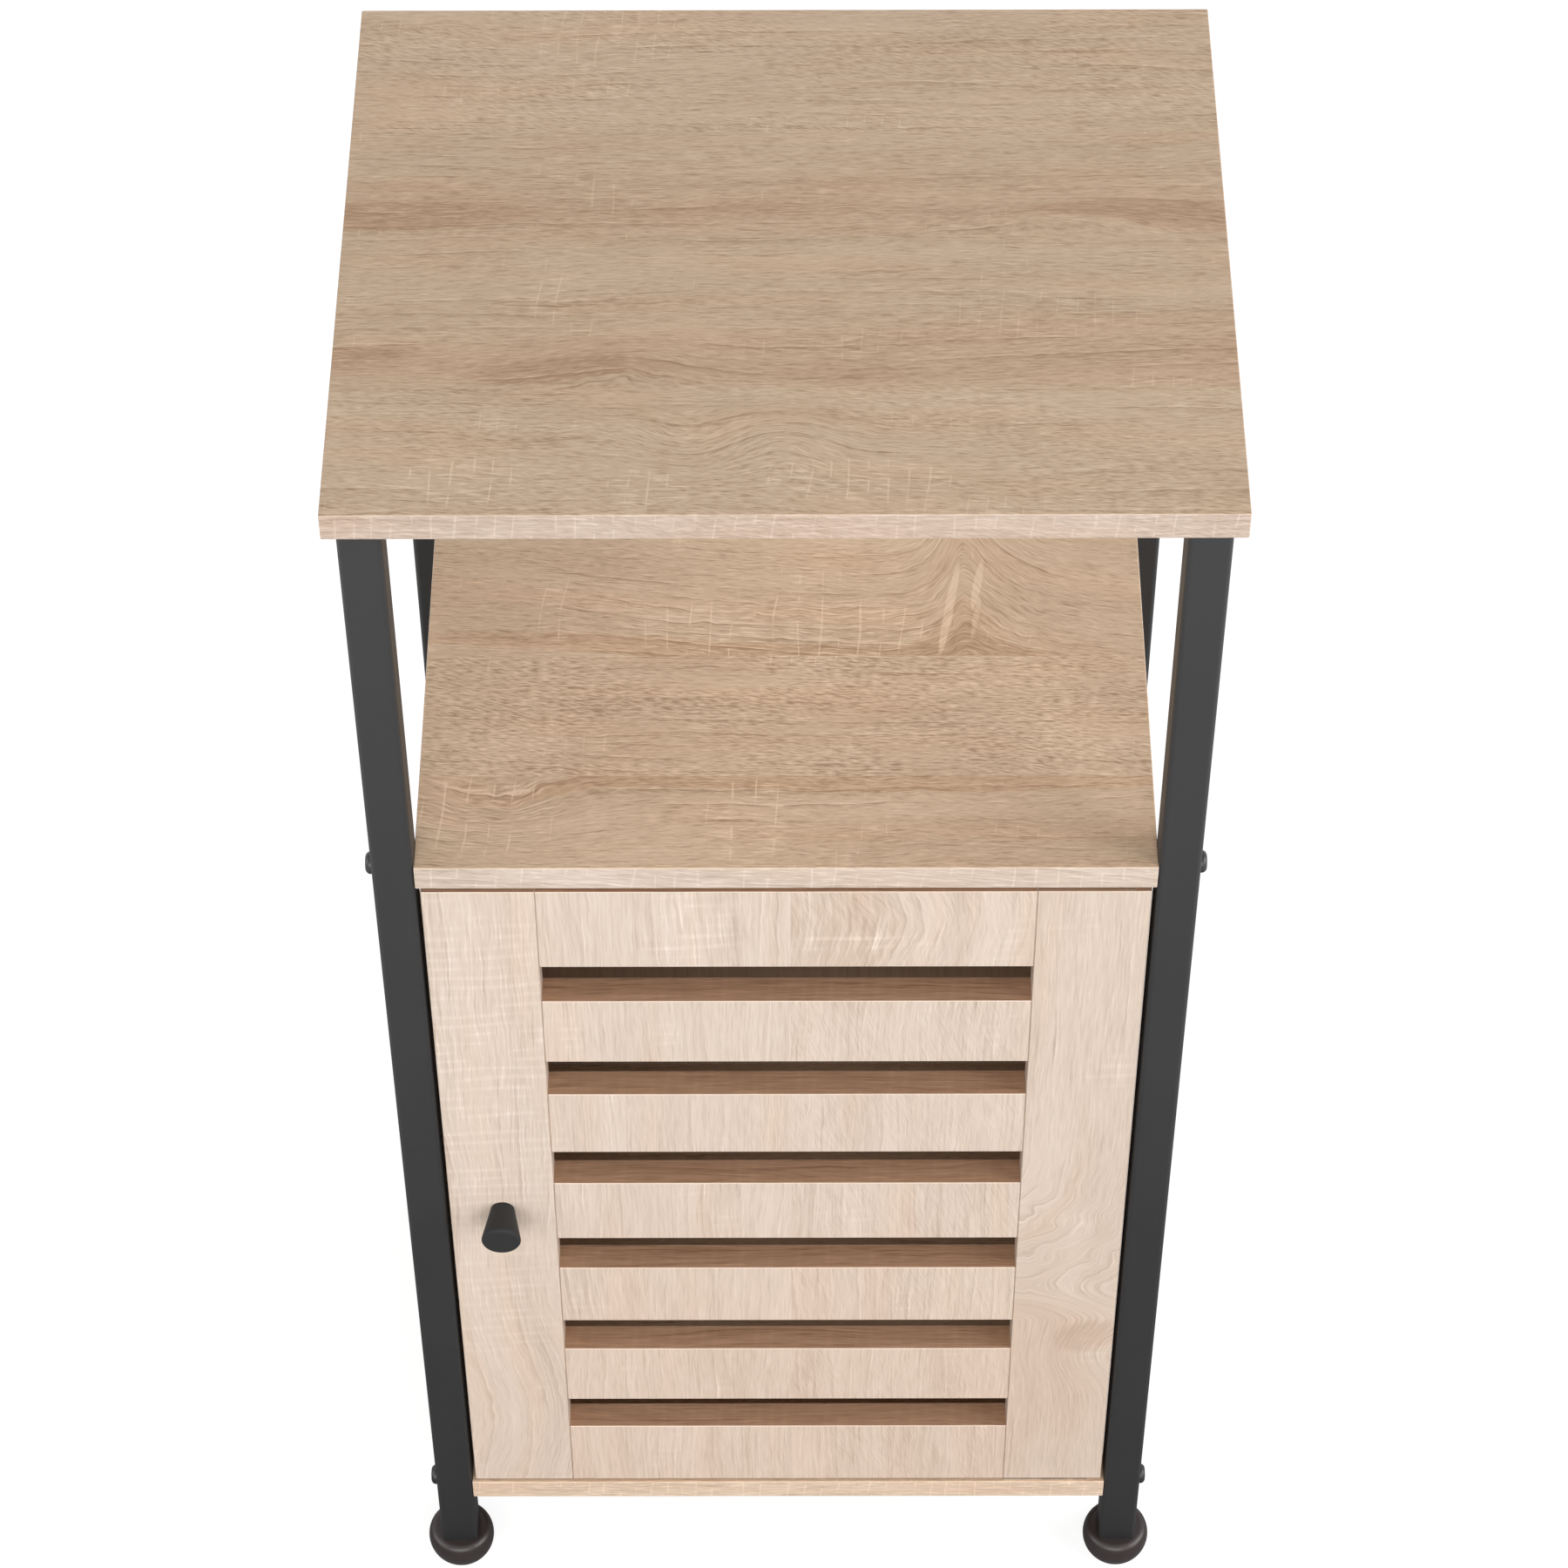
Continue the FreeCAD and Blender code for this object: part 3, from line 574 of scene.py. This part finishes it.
def flecks(s, along, across, reach, line, seed, planks):
    """Short dark and pale marks that lean across the grain, as many as each plank has."""
    leaning = line + along * by_plank(s, across, planks, "lean")
    fleck = s.layer(FLECK, reach, leaning, seed)
    area = s.ramp(s.layer(FLECK_AREA, along, across, seed), *FLECK_AREA.shows)
    strength = area * by_plank(s, across, planks, "flecks")
    return s.ramp(fleck, *FLECK.shows) * strength, s.ramp(1.0 - fleck, *FLECK.shows) * strength


def saw_marks(s, along, across, edge, seed, look, sawn):
    """Pale strokes across the grain, evenly spaced and broken; and where they lie thickly."""
    area = s.ramp(s.layer(SAW_STRAYS, along, across, seed), *SAW_STRAYS.shows) * SAW_STRAY
    area = s.maths("MAXIMUM", area, edge * SAW_ON_EDGE)
    for patch in sawn:
        area = s.maths("MAXIMUM", area, patch.share(s, along, across))
    sway = s.layer(SAW_SWAYS, along, across, seed)
    count = (along - across * SAW_LEAN) / look.saw_pitch + swing(sway, SAW_SWAY)
    offset = s.maths("ABSOLUTE", s.maths("FRACT", count) - 0.5) * look.saw_pitch
    stroke = 1.0 - s.ramp(offset, SAW_CORE * look.saw_width, SAW_RIM * look.saw_width)
    number = s.maths("FLOOR", count)
    breaks = s.noise(number * SAW_BREAK_STEP, across / look.saw_length, seed + SAW_BREAK_SEED)
    return stroke * s.ramp(breaks, *SAW_BREAK_SPAN) * area, area


def laminate(name, direction, look, layout):
    """Printed oak: planks with growth rings, crisp hairlines, flecks, bent figure and pale saw marks."""
    s = Shader(name)
    along, across, edge = grain_directions(s, direction)
    planks = layout.planks
    seed = edge * EDGE_SEED + by_plank(s, across, planks, "seed")
    if layout.bar_pitch:
        bar = s.maths("FLOOR", (s.z - layout.first_bar) / layout.bar_pitch)
        seed = bar * BAR_SEED + seed
    line, swirl = bent_lines(s, along, across, edge, layout, seed)
    late_wood, early_wood = growth_rings(s, along, line, seed, swirl)

    reach = along / look.stretch
    broad = s.layer(BROAD, reach, line, seed)
    cloud = s.layer(CLOUD, reach, across, seed)
    fine = s.layer(FINE, reach, line, seed)
    hair = s.layer(HAIR, reach, line, seed)
    dark_hair = s.ramp(hair, *HAIR.shows)
    pale_hair = s.ramp(1.0 - hair, *HAIR.shows)
    dark_streak = s.ramp(s.layer(STREAK, reach, line, seed), *STREAK.shows) * partly(dark_hair, 0.5)
    dark_fleck, pale_fleck = flecks(s, along, across, reach, line, seed, planks)
    saw, saw_area = saw_marks(s, along, across, edge, seed, look, layout.sawn)

    brown = 0.0
    for patch in layout.brown:
        plank = same_plank(s, across, planks, patch.across)
        brown = patch.share(s, along, line) * plank + brown
    pale = 0.0
    for patch in layout.pale:
        pale = patch.share(s, along - across * PALE_LEAN, across) * partly(pale_hair, 0.4) + pale
    warmth = s.ramp(s.layer(WARMTH, reach, line, seed), *WARMTH.shows) * WARMTH_PART + brown
    for patch in layout.warm:
        warmth = warmth + patch.share(s, along, across)

    lines = swing(fine, FINE_TONE) + (pale_hair - dark_hair) * HAIR_TONE - dark_streak * STREAK_TONE
    lines = lines + early_wood * partly(pale_hair, 0.6) * EARLY_WOOD_TONE - late_wood * LATE_WOOD_TONE
    lines = lines + pale_fleck * PALE_FLECK_TONE - dark_fleck * DARK_FLECK_TONE
    strength = edge * (look.edge_lines - look.lines) + look.lines
    clouds = (swing(broad, BROAD_TONE) + swing(cloud, CLOUD_TONE)) * look.clouds
    sawn = saw * partly(pale_hair, 0.5) + saw_area * (pale_hair + early_wood) * SAW_HAIR
    painted_edge_highlight, joint = s.arris()
    tone = clouds + MIDDLE_TONE + by_plank(s, across, planks, "tone") + lines * strength
    tone = tone - brown * BROWN_TONE + sawn * look.saw_strength + pale * PALE_TONE
    # Rounded edges are lifted paler as a painted highlight, and on the door the joints beside a side face
    # are darkened.
    tone = tone + painted_edge_highlight * EDGE_HIGHLIGHT_TONE - joint * look.joints

    # Edges take their own colour; on the door's flat ends it is painted shade.
    shade = s.blend(edge, s.colour_ramp(tone, look.face), s.colour_ramp(tone, look.edge))
    shade = s.blend(s.maths("MINIMUM", warmth, 1.0), shade, s.tinted(shade, WARM_SHARE))
    roughness = OAK_ROUGHNESS + (dark_hair + dark_fleck) * PORE_ROUGHNESS
    height = pale_hair - dark_hair - dark_fleck
    return s.finish(shade, roughness, height, depth_mm=PORE_DEPTH_MM, Specular_IOR_Level=OAK_SHINE)


# The other materials: sizes of their texture in millimetres, and their colours.
PEEL_MM = (0.45, 0.45, 0.45)
COAT_CLOUD_MM = (40.0, 40.0, 90.0)
COAT_DARK = colour(0.011, 0.011, 0.0115)
COAT_PALE = colour(0.018, 0.018, 0.0185)
COAT_ROUGHNESS = 0.50
COAT_SHINE = 0.54
PLASTIC_CLOUD_MM = (12.0, 12.0, 12.0)
METAL_CLOUD_MM = (5.0, 5.0, 5.0)
BEECH_RING_MM = (30.0, 1.2, 1.2)
BEECH_FLECK_MM = (2.2, 0.35, 0.35)
BEECH_DARK = colour(0.50, 0.32, 0.18)
BEECH_PALE = colour(0.66, 0.46, 0.29)
BEECH_FLECK = colour(0.30, 0.17, 0.09)
BEECH_ROUGHNESS = 0.6

# Hardboard: sizes in millimetres along X and Z, colours, the pitch of the screen that marks its back,
# how far the screen's wave turns in one millimetre, and the printed side.
FIBRE_MM = (1.1, 1.1)
MOTTLE_MM = (9.0, 12.0)
STRAND_MM = (6.0, 1.0)
CHIP_MM = (3.4, 2.2)
FIBRE_DARK = colour(0.19, 0.115, 0.068)
FIBRE_PALE = colour(0.44, 0.295, 0.185)
STRAND_COLOUR = colour(0.46, 0.33, 0.22)
CHIP_COLOUR = colour(0.12, 0.072, 0.043)
SCREEN_PITCH = 1.8
SCREEN_TURN = 2.0 * math.pi / SCREEN_PITCH
HARDBOARD_ROUGHNESS = 0.62
BACK_PRINT = Layer(120.0, 2.2, 5.0, detail=3.0)
BACK_PRINT_DARK = colour(0.40, 0.28, 0.19)
BACK_PRINT_PALE = colour(0.62, 0.46, 0.34)


def powder_coat(name):
    """Black powder-coated steel with a fine orange peel."""
    s = Shader(name)
    peel = s.lumps(PEEL_MM)
    cloud = s.lumps(COAT_CLOUD_MM)
    shade = s.blend(cloud, COAT_DARK, COAT_PALE)
    roughness = swing(cloud, 0.12) + swing(peel, 0.10) + COAT_ROUGHNESS
    return s.finish(shade, roughness, peel, depth_mm=0.06, Specular_IOR_Level=COAT_SHINE)


def moulded_plastic(name, dark, pale, rough, grain_mm, shine=0.5):
    """Moulded plastic, or a smooth coat, with a slight texture."""
    s = Shader(name)
    grain = s.lumps((grain_mm, grain_mm, grain_mm))
    cloud = s.lumps(PLASTIC_CLOUD_MM, detail=3.0)
    shade = s.blend(cloud, dark, pale)
    roughness = swing(cloud, 0.12) + swing(grain, 0.06) + rough
    return s.finish(shade, roughness, grain, depth_mm=0.03, Specular_IOR_Level=shine)


def bare_metal(name, dark, pale, rough, grain_mm):
    """Plated or cast metal with a cloudy surface."""
    s = Shader(name)
    grain = s.lumps((grain_mm, grain_mm, grain_mm), detail=3.0)
    cloud = s.lumps(METAL_CLOUD_MM, detail=3.0)
    shade = s.blend(s.ramp(cloud, 0.3, 0.7), dark, pale)
    roughness = swing(grain, 0.25) + rough
    return s.finish(shade, roughness, grain, depth_mm=0.02, Metallic=1.0)


def beech(name):
    """Turned beech dowel: fine dark flecks along X."""
    s = Shader(name)
    rings = s.lumps(BEECH_RING_MM)
    marks = s.ramp(s.lumps(BEECH_FLECK_MM, detail=1.0), 0.58, 0.7)
    shade = s.blend(rings, BEECH_DARK, BEECH_PALE)
    shade = s.blend(marks * 0.5, shade, BEECH_FLECK)
    return s.finish(shade, swing(rings, 0.2) + BEECH_ROUGHNESS, rings, depth_mm=0.05)


def hardboard(name):
    """Thin fibreboard: brown fibres with a screen's imprint behind, a printed face towards the cupboard."""
    s = Shader(name)
    fibres = s.sheet(FIBRE_MM, seed=0.0, detail=4.0, rough=0.7)
    mottle = s.ramp(s.sheet(MOTTLE_MM, seed=7.0, detail=4.0, rough=0.7), 0.3, 0.7)
    strands = s.ramp(s.sheet(STRAND_MM, seed=3.0, detail=2.0), 0.55, 0.75)
    chips = s.ramp(s.sheet(CHIP_MM, seed=11.0, detail=3.0, rough=0.7), 0.55, 0.72)
    raw = s.blend(fibres * 0.65 + mottle * 0.35, FIBRE_DARK, FIBRE_PALE)
    raw = s.blend(strands * 0.4, raw, STRAND_COLOUR)
    raw = s.blend(chips * 0.4, raw, CHIP_COLOUR)
    screen = s.maths("SINE", s.x * SCREEN_TURN) * s.maths("SINE", s.z * SCREEN_TURN)
    printed = s.blend(s.layer(BACK_PRINT, s.z, s.x), BACK_PRINT_DARK, BACK_PRINT_PALE)
    inner_side = s.above(s.parts(s.facing)[1] * -1.0, FACE_LIMIT)
    shade = s.blend(inner_side, raw, printed)
    relief = fibres + screen * (1.0 - inner_side) * 0.5
    return s.finish(shade, swing(fibres, 0.25) + HARDBOARD_ROUGHNESS, relief, depth_mm=0.12)


# The prints, laid out from the photograph. Places and reaches are millimetres along the grain, then
# across it: X and Y on the boards, Z and X on the door, Z and Y on the side panels.
TOP_PRINT = Print(
    planks=(
        Plank(-200.0, 10.0, slope=0.02, flecks=0.6, lean=0.10),
        Plank(-88.0, 13.0, slope=-0.01, flecks=0.15, tone=-0.03),
        Plank(10.0, 16.0, flecks=0.2, tone=-0.04),
        Plank(79.0, 19.0, flecks=0.7, lean=0.30),
    ),
    figures=(
        Figure(-42.0, -120.0, 20.0, 18.0, 8.0),
        Figure(2.0, -121.0, 24.0, 20.0, -11.0),
        Figure(-70.0, -76.0, 36.0, 14.0, -9.0, depth=0.7),
        Figure(125.0, 20.0, 44.0, 11.0, -10.0),
    ),
    brown=(
        Patch(-172.0, 22.0, 56.0, 9.0),
        Patch(172.0, 20.0, 58.0, 10.0),
        Patch(-190.0, -64.0, 30.0, 4.0),
        Patch(-95.0, -80.0, 45.0, 7.0, strength=0.7),
        Patch(20.0, -70.0, 300.0, 20.0, strength=0.55, soft=0.35),
        Patch(0.0, 26.0, 300.0, 22.0, strength=0.45, soft=0.35),
    ),
    sawn=(
        Patch(-84.0, 148.0, 38.0, 26.0, strength=0.5),
        Patch(-104.0, -30.0, 10.0, 15.0, strength=0.6),
        Patch(112.0, -42.0, 46.0, 16.0, strength=0.35),
        Patch(-142.0, -144.0, 27.0, 15.0),
        Patch(-60.0, -150.0, 17.0, 12.0, strength=0.9),
        Patch(30.0, -144.0, 42.0, 12.0, strength=0.9),
    ),
)
SHELF_PRINT = Print(
    planks=(
        Plank(-200.0, 20.0, flecks=0.2),
        Plank(-98.0, 23.0, slope=0.02, flecks=1.0, lean=0.10),
        Plank(-21.0, 26.0, slope=0.08, flecks=0.2),
    ),
    figures=(
        Flame(88.0, -21.0, 12.0, 26.0, 12.0, tip=6.0, pull=0.45, lift=9.0, depth=0.9),
        Figure(0.0, 4.0, 170.0, 20.0, 0.0, depth=0.7),
        Figure(60.0, -112.0, 150.0, 13.0, 0.0, depth=0.6),
        Figure(-138.0, -116.0, 36.0, 24.0, 13.0, depth=0.7),
    ),
    brown=(
        Patch(60.0, -21.0, 230.0, 8.0, strength=1.3),
        Patch(86.0, -16.0, 24.0, 14.0, strength=0.6),
        Patch(40.0, -101.0, 180.0, 6.0),
    ),
    pale=(
        Patch(78.5, 10.0, 2.2, 30.0),
        Patch(90.0, 26.0, 2.0, 16.0),
        Patch(92.5, 4.0, 1.4, 14.0, strength=0.6),
    ),
    sawn=(
        Patch(0.0, -4.0, 70.0, 22.0),
        Patch(-112.0, 6.0, 10.0, 26.0, strength=0.7),
        Patch(-143.0, -122.0, 34.0, 24.0),
        Patch(-18.0, -125.0, 20.0, 26.0),
    ),
)
BOTTOM_PRINT = Print(planks=(Plank(-200.0, 30.0), Plank(-60.0, 33.0), Plank(40.0, 36.0)))
SIDE_PRINT = Print(planks=(Plank(-200.0, 60.0), Plank(-40.0, 63.0), Plank(50.0, 66.0)))
BAR_PRINT = Print(
    planks=(Plank(-200.0, 40.0), Plank(2.0, 43.0, flecks=0.5, lean=0.3, tone=-0.03)),
    first_bar=148.5,
    bar_pitch=75.4,
    figures=(Figure(578.0, 70.0, 46.0, 44.0, -20.0, depth=0.5),),
    brown=(Patch(560.0, 24.0, 60.0, 22.0, strength=0.4, soft=0.36),),
    warm=(Patch(60.0, 0.0, 250.0, 400.0, strength=0.8, soft=0.36),),
    sawn=(Patch(565.0, -48.0, 26.0, 22.0, soft=0.3), Patch(558.0, 36.0, 8.0, 32.0, soft=0.3)),
)
LEFT_STILE_PRINT = Print(
    planks=(Plank(-200.0, 50.0, flecks=0.0),),
    figures=(Figure(150.0, -140.0, 70.0, 50.0, -16.0, depth=0.5),),
    warm=(Patch(60.0, -150.0, 220.0, 400.0, strength=0.4, soft=0.36),),
    sawn=(
        Patch(465.0, -152.0, 140.0, 40.0, strength=0.8, soft=0.3),
        Patch(255.0, -152.0, 55.0, 32.0, strength=0.6, soft=0.3),
    ),
)
RIGHT_STILE_PRINT = Print(
    planks=(Plank(0.0, 55.0, flecks=0.0, tone=-0.05),),
    figures=(
        Bow(385.0, 105.0, 236.0),
        Figure(205.0, 175.0, 22.0, 34.0, 20.0, depth=0.5),
    ),
    brown=(
        Patch(222.0, 170.0, 14.0, 24.0, strength=0.8, soft=0.2),
        Patch(190.0, 145.0, 70.0, 26.0, strength=0.4, soft=0.36),
    ),
    warm=(Patch(60.0, 150.0, 250.0, 400.0, strength=0.5, soft=0.36),),
    sawn=(Patch(455.0, 160.0, 14.0, 12.0, strength=0.6, soft=0.3),),
)
TOP_LOOK = Look(TOP_OAK, TOP_EDGE_OAK, lines=1.55)
SHELF_LOOK = Look(SHELF_OAK_PAINTED_LIGHT, SHELF_EDGE_OAK, lines=1.75, saw_pitch=10.5, saw_length=16.0)
BOTTOM_LOOK = Look(SHELF_OAK_PAINTED_LIGHT, BOTTOM_EDGE_OAK, lines=1.4)
# On the door the edge colour goes on the flat ends of its pieces, as painted shade.
DOOR_LOOK = Look(DOOR_OAK_AND_PAINTED_LIGHT, DOOR_END_PAINTED_SHADE, lines=0.75, edge_lines=1.6, clouds=0.65, stretch=2.6,
                 saw_pitch=7.5, saw_width=2.6, saw_length=32.0, saw_strength=0.26, joints=0.5)


def finishes():
    """One material for each material slot of the record, and for the boards their own print."""
    by_slot = {
        "black_steel": powder_coat("black_steel_coat"),
        "black_bolt": moulded_plastic(
            "black_bolt_coat", dark=colour(0.014, 0.014, 0.015), pale=colour(0.026, 0.026, 0.027),
            rough=0.34, grain_mm=0.5),
        "foot_plastic": moulded_plastic(
            "foot_plastic_brown", dark=colour(0.026, 0.019, 0.018), pale=colour(0.038, 0.028, 0.027),
            rough=0.36, grain_mm=0.8, shine=0.45),
        "knob_black": moulded_plastic(
            "knob_black_matt", dark=colour(0.025, 0.025, 0.0255), pale=colour(0.032, 0.032, 0.0325),
            rough=0.60, grain_mm=0.3, shine=0.15),
        "catch_plastic": moulded_plastic(
            "catch_plastic_white", dark=colour(0.66, 0.65, 0.62), pale=colour(0.76, 0.75, 0.72),
            rough=0.38, grain_mm=0.5),
        "nylon": moulded_plastic(
            "nylon_brown", dark=colour(0.26, 0.175, 0.115), pale=colour(0.34, 0.23, 0.155),
            rough=0.40, grain_mm=0.6),
        "magnet_ferrite": moulded_plastic(
            "magnet_ferrite_grey", dark=colour(0.030, 0.030, 0.032), pale=colour(0.060, 0.060, 0.064),
            rough=0.50, grain_mm=0.2),
        "zinc_steel": bare_metal(
            "zinc_steel_plate", dark=colour(0.34, 0.345, 0.36), pale=colour(0.50, 0.505, 0.51),
            rough=0.36, grain_mm=0.4),
        "cast_zinc": bare_metal(
            "cast_zinc_grey", dark=colour(0.36, 0.37, 0.39), pale=colour(0.50, 0.51, 0.53),
            rough=0.46, grain_mm=0.25),
        "beech": beech("beech_dowel"),
        "hardboard": hardboard("hardboard_back"),
        "door_laminate": laminate("door_laminate_bars", DOOR_GRAIN, DOOR_LOOK, BAR_PRINT),
        "oak_laminate": laminate("oak_laminate_bottom", FLAT_GRAIN, BOTTOM_LOOK, BOTTOM_PRINT),
    }
    side = laminate("oak_laminate_side", SIDE_GRAIN, SHELF_LOOK, SIDE_PRINT)
    by_node = {
        "top_board": laminate("oak_laminate_top", FLAT_GRAIN, TOP_LOOK, TOP_PRINT),
        "shelf_board": laminate("oak_laminate_shelf", FLAT_GRAIN, SHELF_LOOK, SHELF_PRINT),
        "side_panel_left": side,
        "side_panel_right": side,
        "door_stile_left": laminate("door_laminate_stile_left", DOOR_GRAIN, DOOR_LOOK, LEFT_STILE_PRINT),
        "door_stile_right": laminate("door_laminate_stile_right", DOOR_GRAIN, DOOR_LOOK, RIGHT_STILE_PRINT),
    }
    return by_slot, by_node


def dress_nodes():
    """Gives every CAD node its finish, in the material slots that it came with."""
    by_slot, by_node = finishes()
    for name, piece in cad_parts.items():
        for slot in piece.material_slots:
            slot.material = by_node.get(name, by_slot[slot.material.name])


def white_where_seen(tree, unseen, seen, mirrored):
    """The seen strength for rays from the camera or through clear things, and a share of it for mirrored
    rays. Other rays get the unseen one."""
    path = tree.nodes.new("ShaderNodeLightPath")
    dimmed = tree.nodes.new("ShaderNodeMath")
    dimmed.operation = "MULTIPLY"
    put(tree, dimmed.inputs[0], path.outputs["Is Glossy Ray"])
    put(tree, dimmed.inputs[1], mirrored)
    share = dimmed.outputs[0]
    for ray in ("Is Camera Ray", "Is Transmission Ray"):
        most = tree.nodes.new("ShaderNodeMath")
        most.operation = "MAXIMUM"
        put(tree, most.inputs[0], share)
        put(tree, most.inputs[1], path.outputs[ray])
        share = most.outputs[0]
    span = tree.nodes.new("ShaderNodeMapRange")
    put(tree, span.inputs["Value"], share)
    put(tree, span.inputs["To Min"], unseen)
    put(tree, span.inputs["To Max"], seen)
    return span.outputs["Result"]


def by_distance(tree, start, end, near, far):
    """A number on the floor that goes from near to far between two distances from the origin."""
    where = tree.nodes.new("ShaderNodeTexCoord")
    distance = tree.nodes.new("ShaderNodeVectorMath")
    distance.operation = "LENGTH"
    tree.links.new(where.outputs["Object"], distance.inputs[0])
    span = tree.nodes.new("ShaderNodeMapRange")
    tree.links.new(distance.outputs["Value"], span.inputs["Value"])
    span.inputs["From Min"].default_value = start
    span.inputs["From Max"].default_value = end
    span.inputs["To Min"].default_value = near
    span.inputs["To Max"].default_value = far
    return span.outputs["Result"]


def make_floor():
    """A pale floor that shows white and keeps the shadow under the cabinet."""
    half = STAGE_SIZE / 2
    corners = [(-half, -half, 0), (half, -half, 0), (half, half, 0), (-half, half, 0)]
    mesh = bpy.data.meshes.new("studio_floor")
    mesh.from_pydata(corners, [], [(0, 1, 2, 3)])
    floor = bpy.data.objects.new("studio_floor", mesh)
    bpy.context.scene.collection.objects.link(floor)
    material = bpy.data.materials.new("studio_floor_white")
    material.use_nodes = True
    tree = material.node_tree
    surface = tree.nodes["Principled BSDF"]
    surface.inputs["Base Color"].default_value = FLOOR_COLOUR
    surface.inputs["Roughness"].default_value = FLOOR_ROUGHNESS
    surface.inputs["Specular IOR Level"].default_value = 0.0
    surface.inputs["Emission Color"].default_value = WHITE
    mirrored = by_distance(tree, *FLOOR_MIRROR_SPAN, 0.0, 1.0)
    glow = by_distance(tree, *FLOOR_UNLIT_SPAN, FLOOR_GLOW, 1.0)
    strength = white_where_seen(tree, unseen=0.0, seen=glow, mirrored=mirrored)
    tree.links.new(strength, surface.inputs["Emission Strength"])
    mesh.materials.append(material)


def make_world():
    """White behind everything, with a soft even fill."""
    world = bpy.data.worlds.new("studio_world")
    world.use_nodes = True
    tree = world.node_tree
    background = tree.nodes["Background"]
    background.inputs["Color"].default_value = WHITE
    strength = white_where_seen(tree, unseen=WORLD_FILL, seen=1.0, mirrored=1.0)
    tree.links.new(strength, background.inputs["Strength"])
    bpy.context.scene.world = world


def make_lamps():
    """Soft boxes in a ring about the cabinet, by turn from the front and rise above its middle."""
    for name, lamp in LAMPS.items():
        light = bpy.data.lights.new(name, "AREA")
        light.shape = "RECTANGLE"
        light.size, light.size_y = lamp["size"]
        light.energy = lamp["watts"]
        turn = math.radians(lamp["turn"])
        rise = math.radians(lamp["rise"])
        away = Vector((math.sin(turn) * math.cos(rise), -math.cos(turn) * math.cos(rise), math.sin(rise)))
        holder = bpy.data.objects.new(name, light)
        holder.location = Vector(LAMP_AIM) + LAMP_REACH * away
        holder.rotation_euler = away.to_track_quat("Z", "Y").to_euler()
        holder.visible_glossy = name not in HIDDEN_IN_GLOSS
        bpy.context.scene.collection.objects.link(holder)


def make_camera():
    """The photograph's view: turned a little, tilted down, with a slight roll."""
    lens = bpy.data.cameras.new("photo_camera")
    lens.lens = CAMERA_LENS_MM
    lens.sensor_width = CAMERA_SENSOR_MM
    camera = bpy.data.objects.new("photo_camera", lens)
    turn = Matrix.Rotation(math.radians(CAMERA_TURN_DEG), 4, "Z")
    tilt = Matrix.Rotation(math.radians(90.0 - CAMERA_DOWN_DEG), 4, "X")
    roll = Matrix.Rotation(math.radians(CAMERA_ROLL_DEG), 4, "Z")
    camera.matrix_world = Matrix.Translation(CAMERA_PLACE) @ turn @ tilt @ roll
    bpy.context.scene.collection.objects.link(camera)
    bpy.context.scene.camera = camera


dress_nodes()
make_floor()
make_world()
make_lamps()
make_camera()
bpy.context.scene.view_settings.view_transform = "Standard"
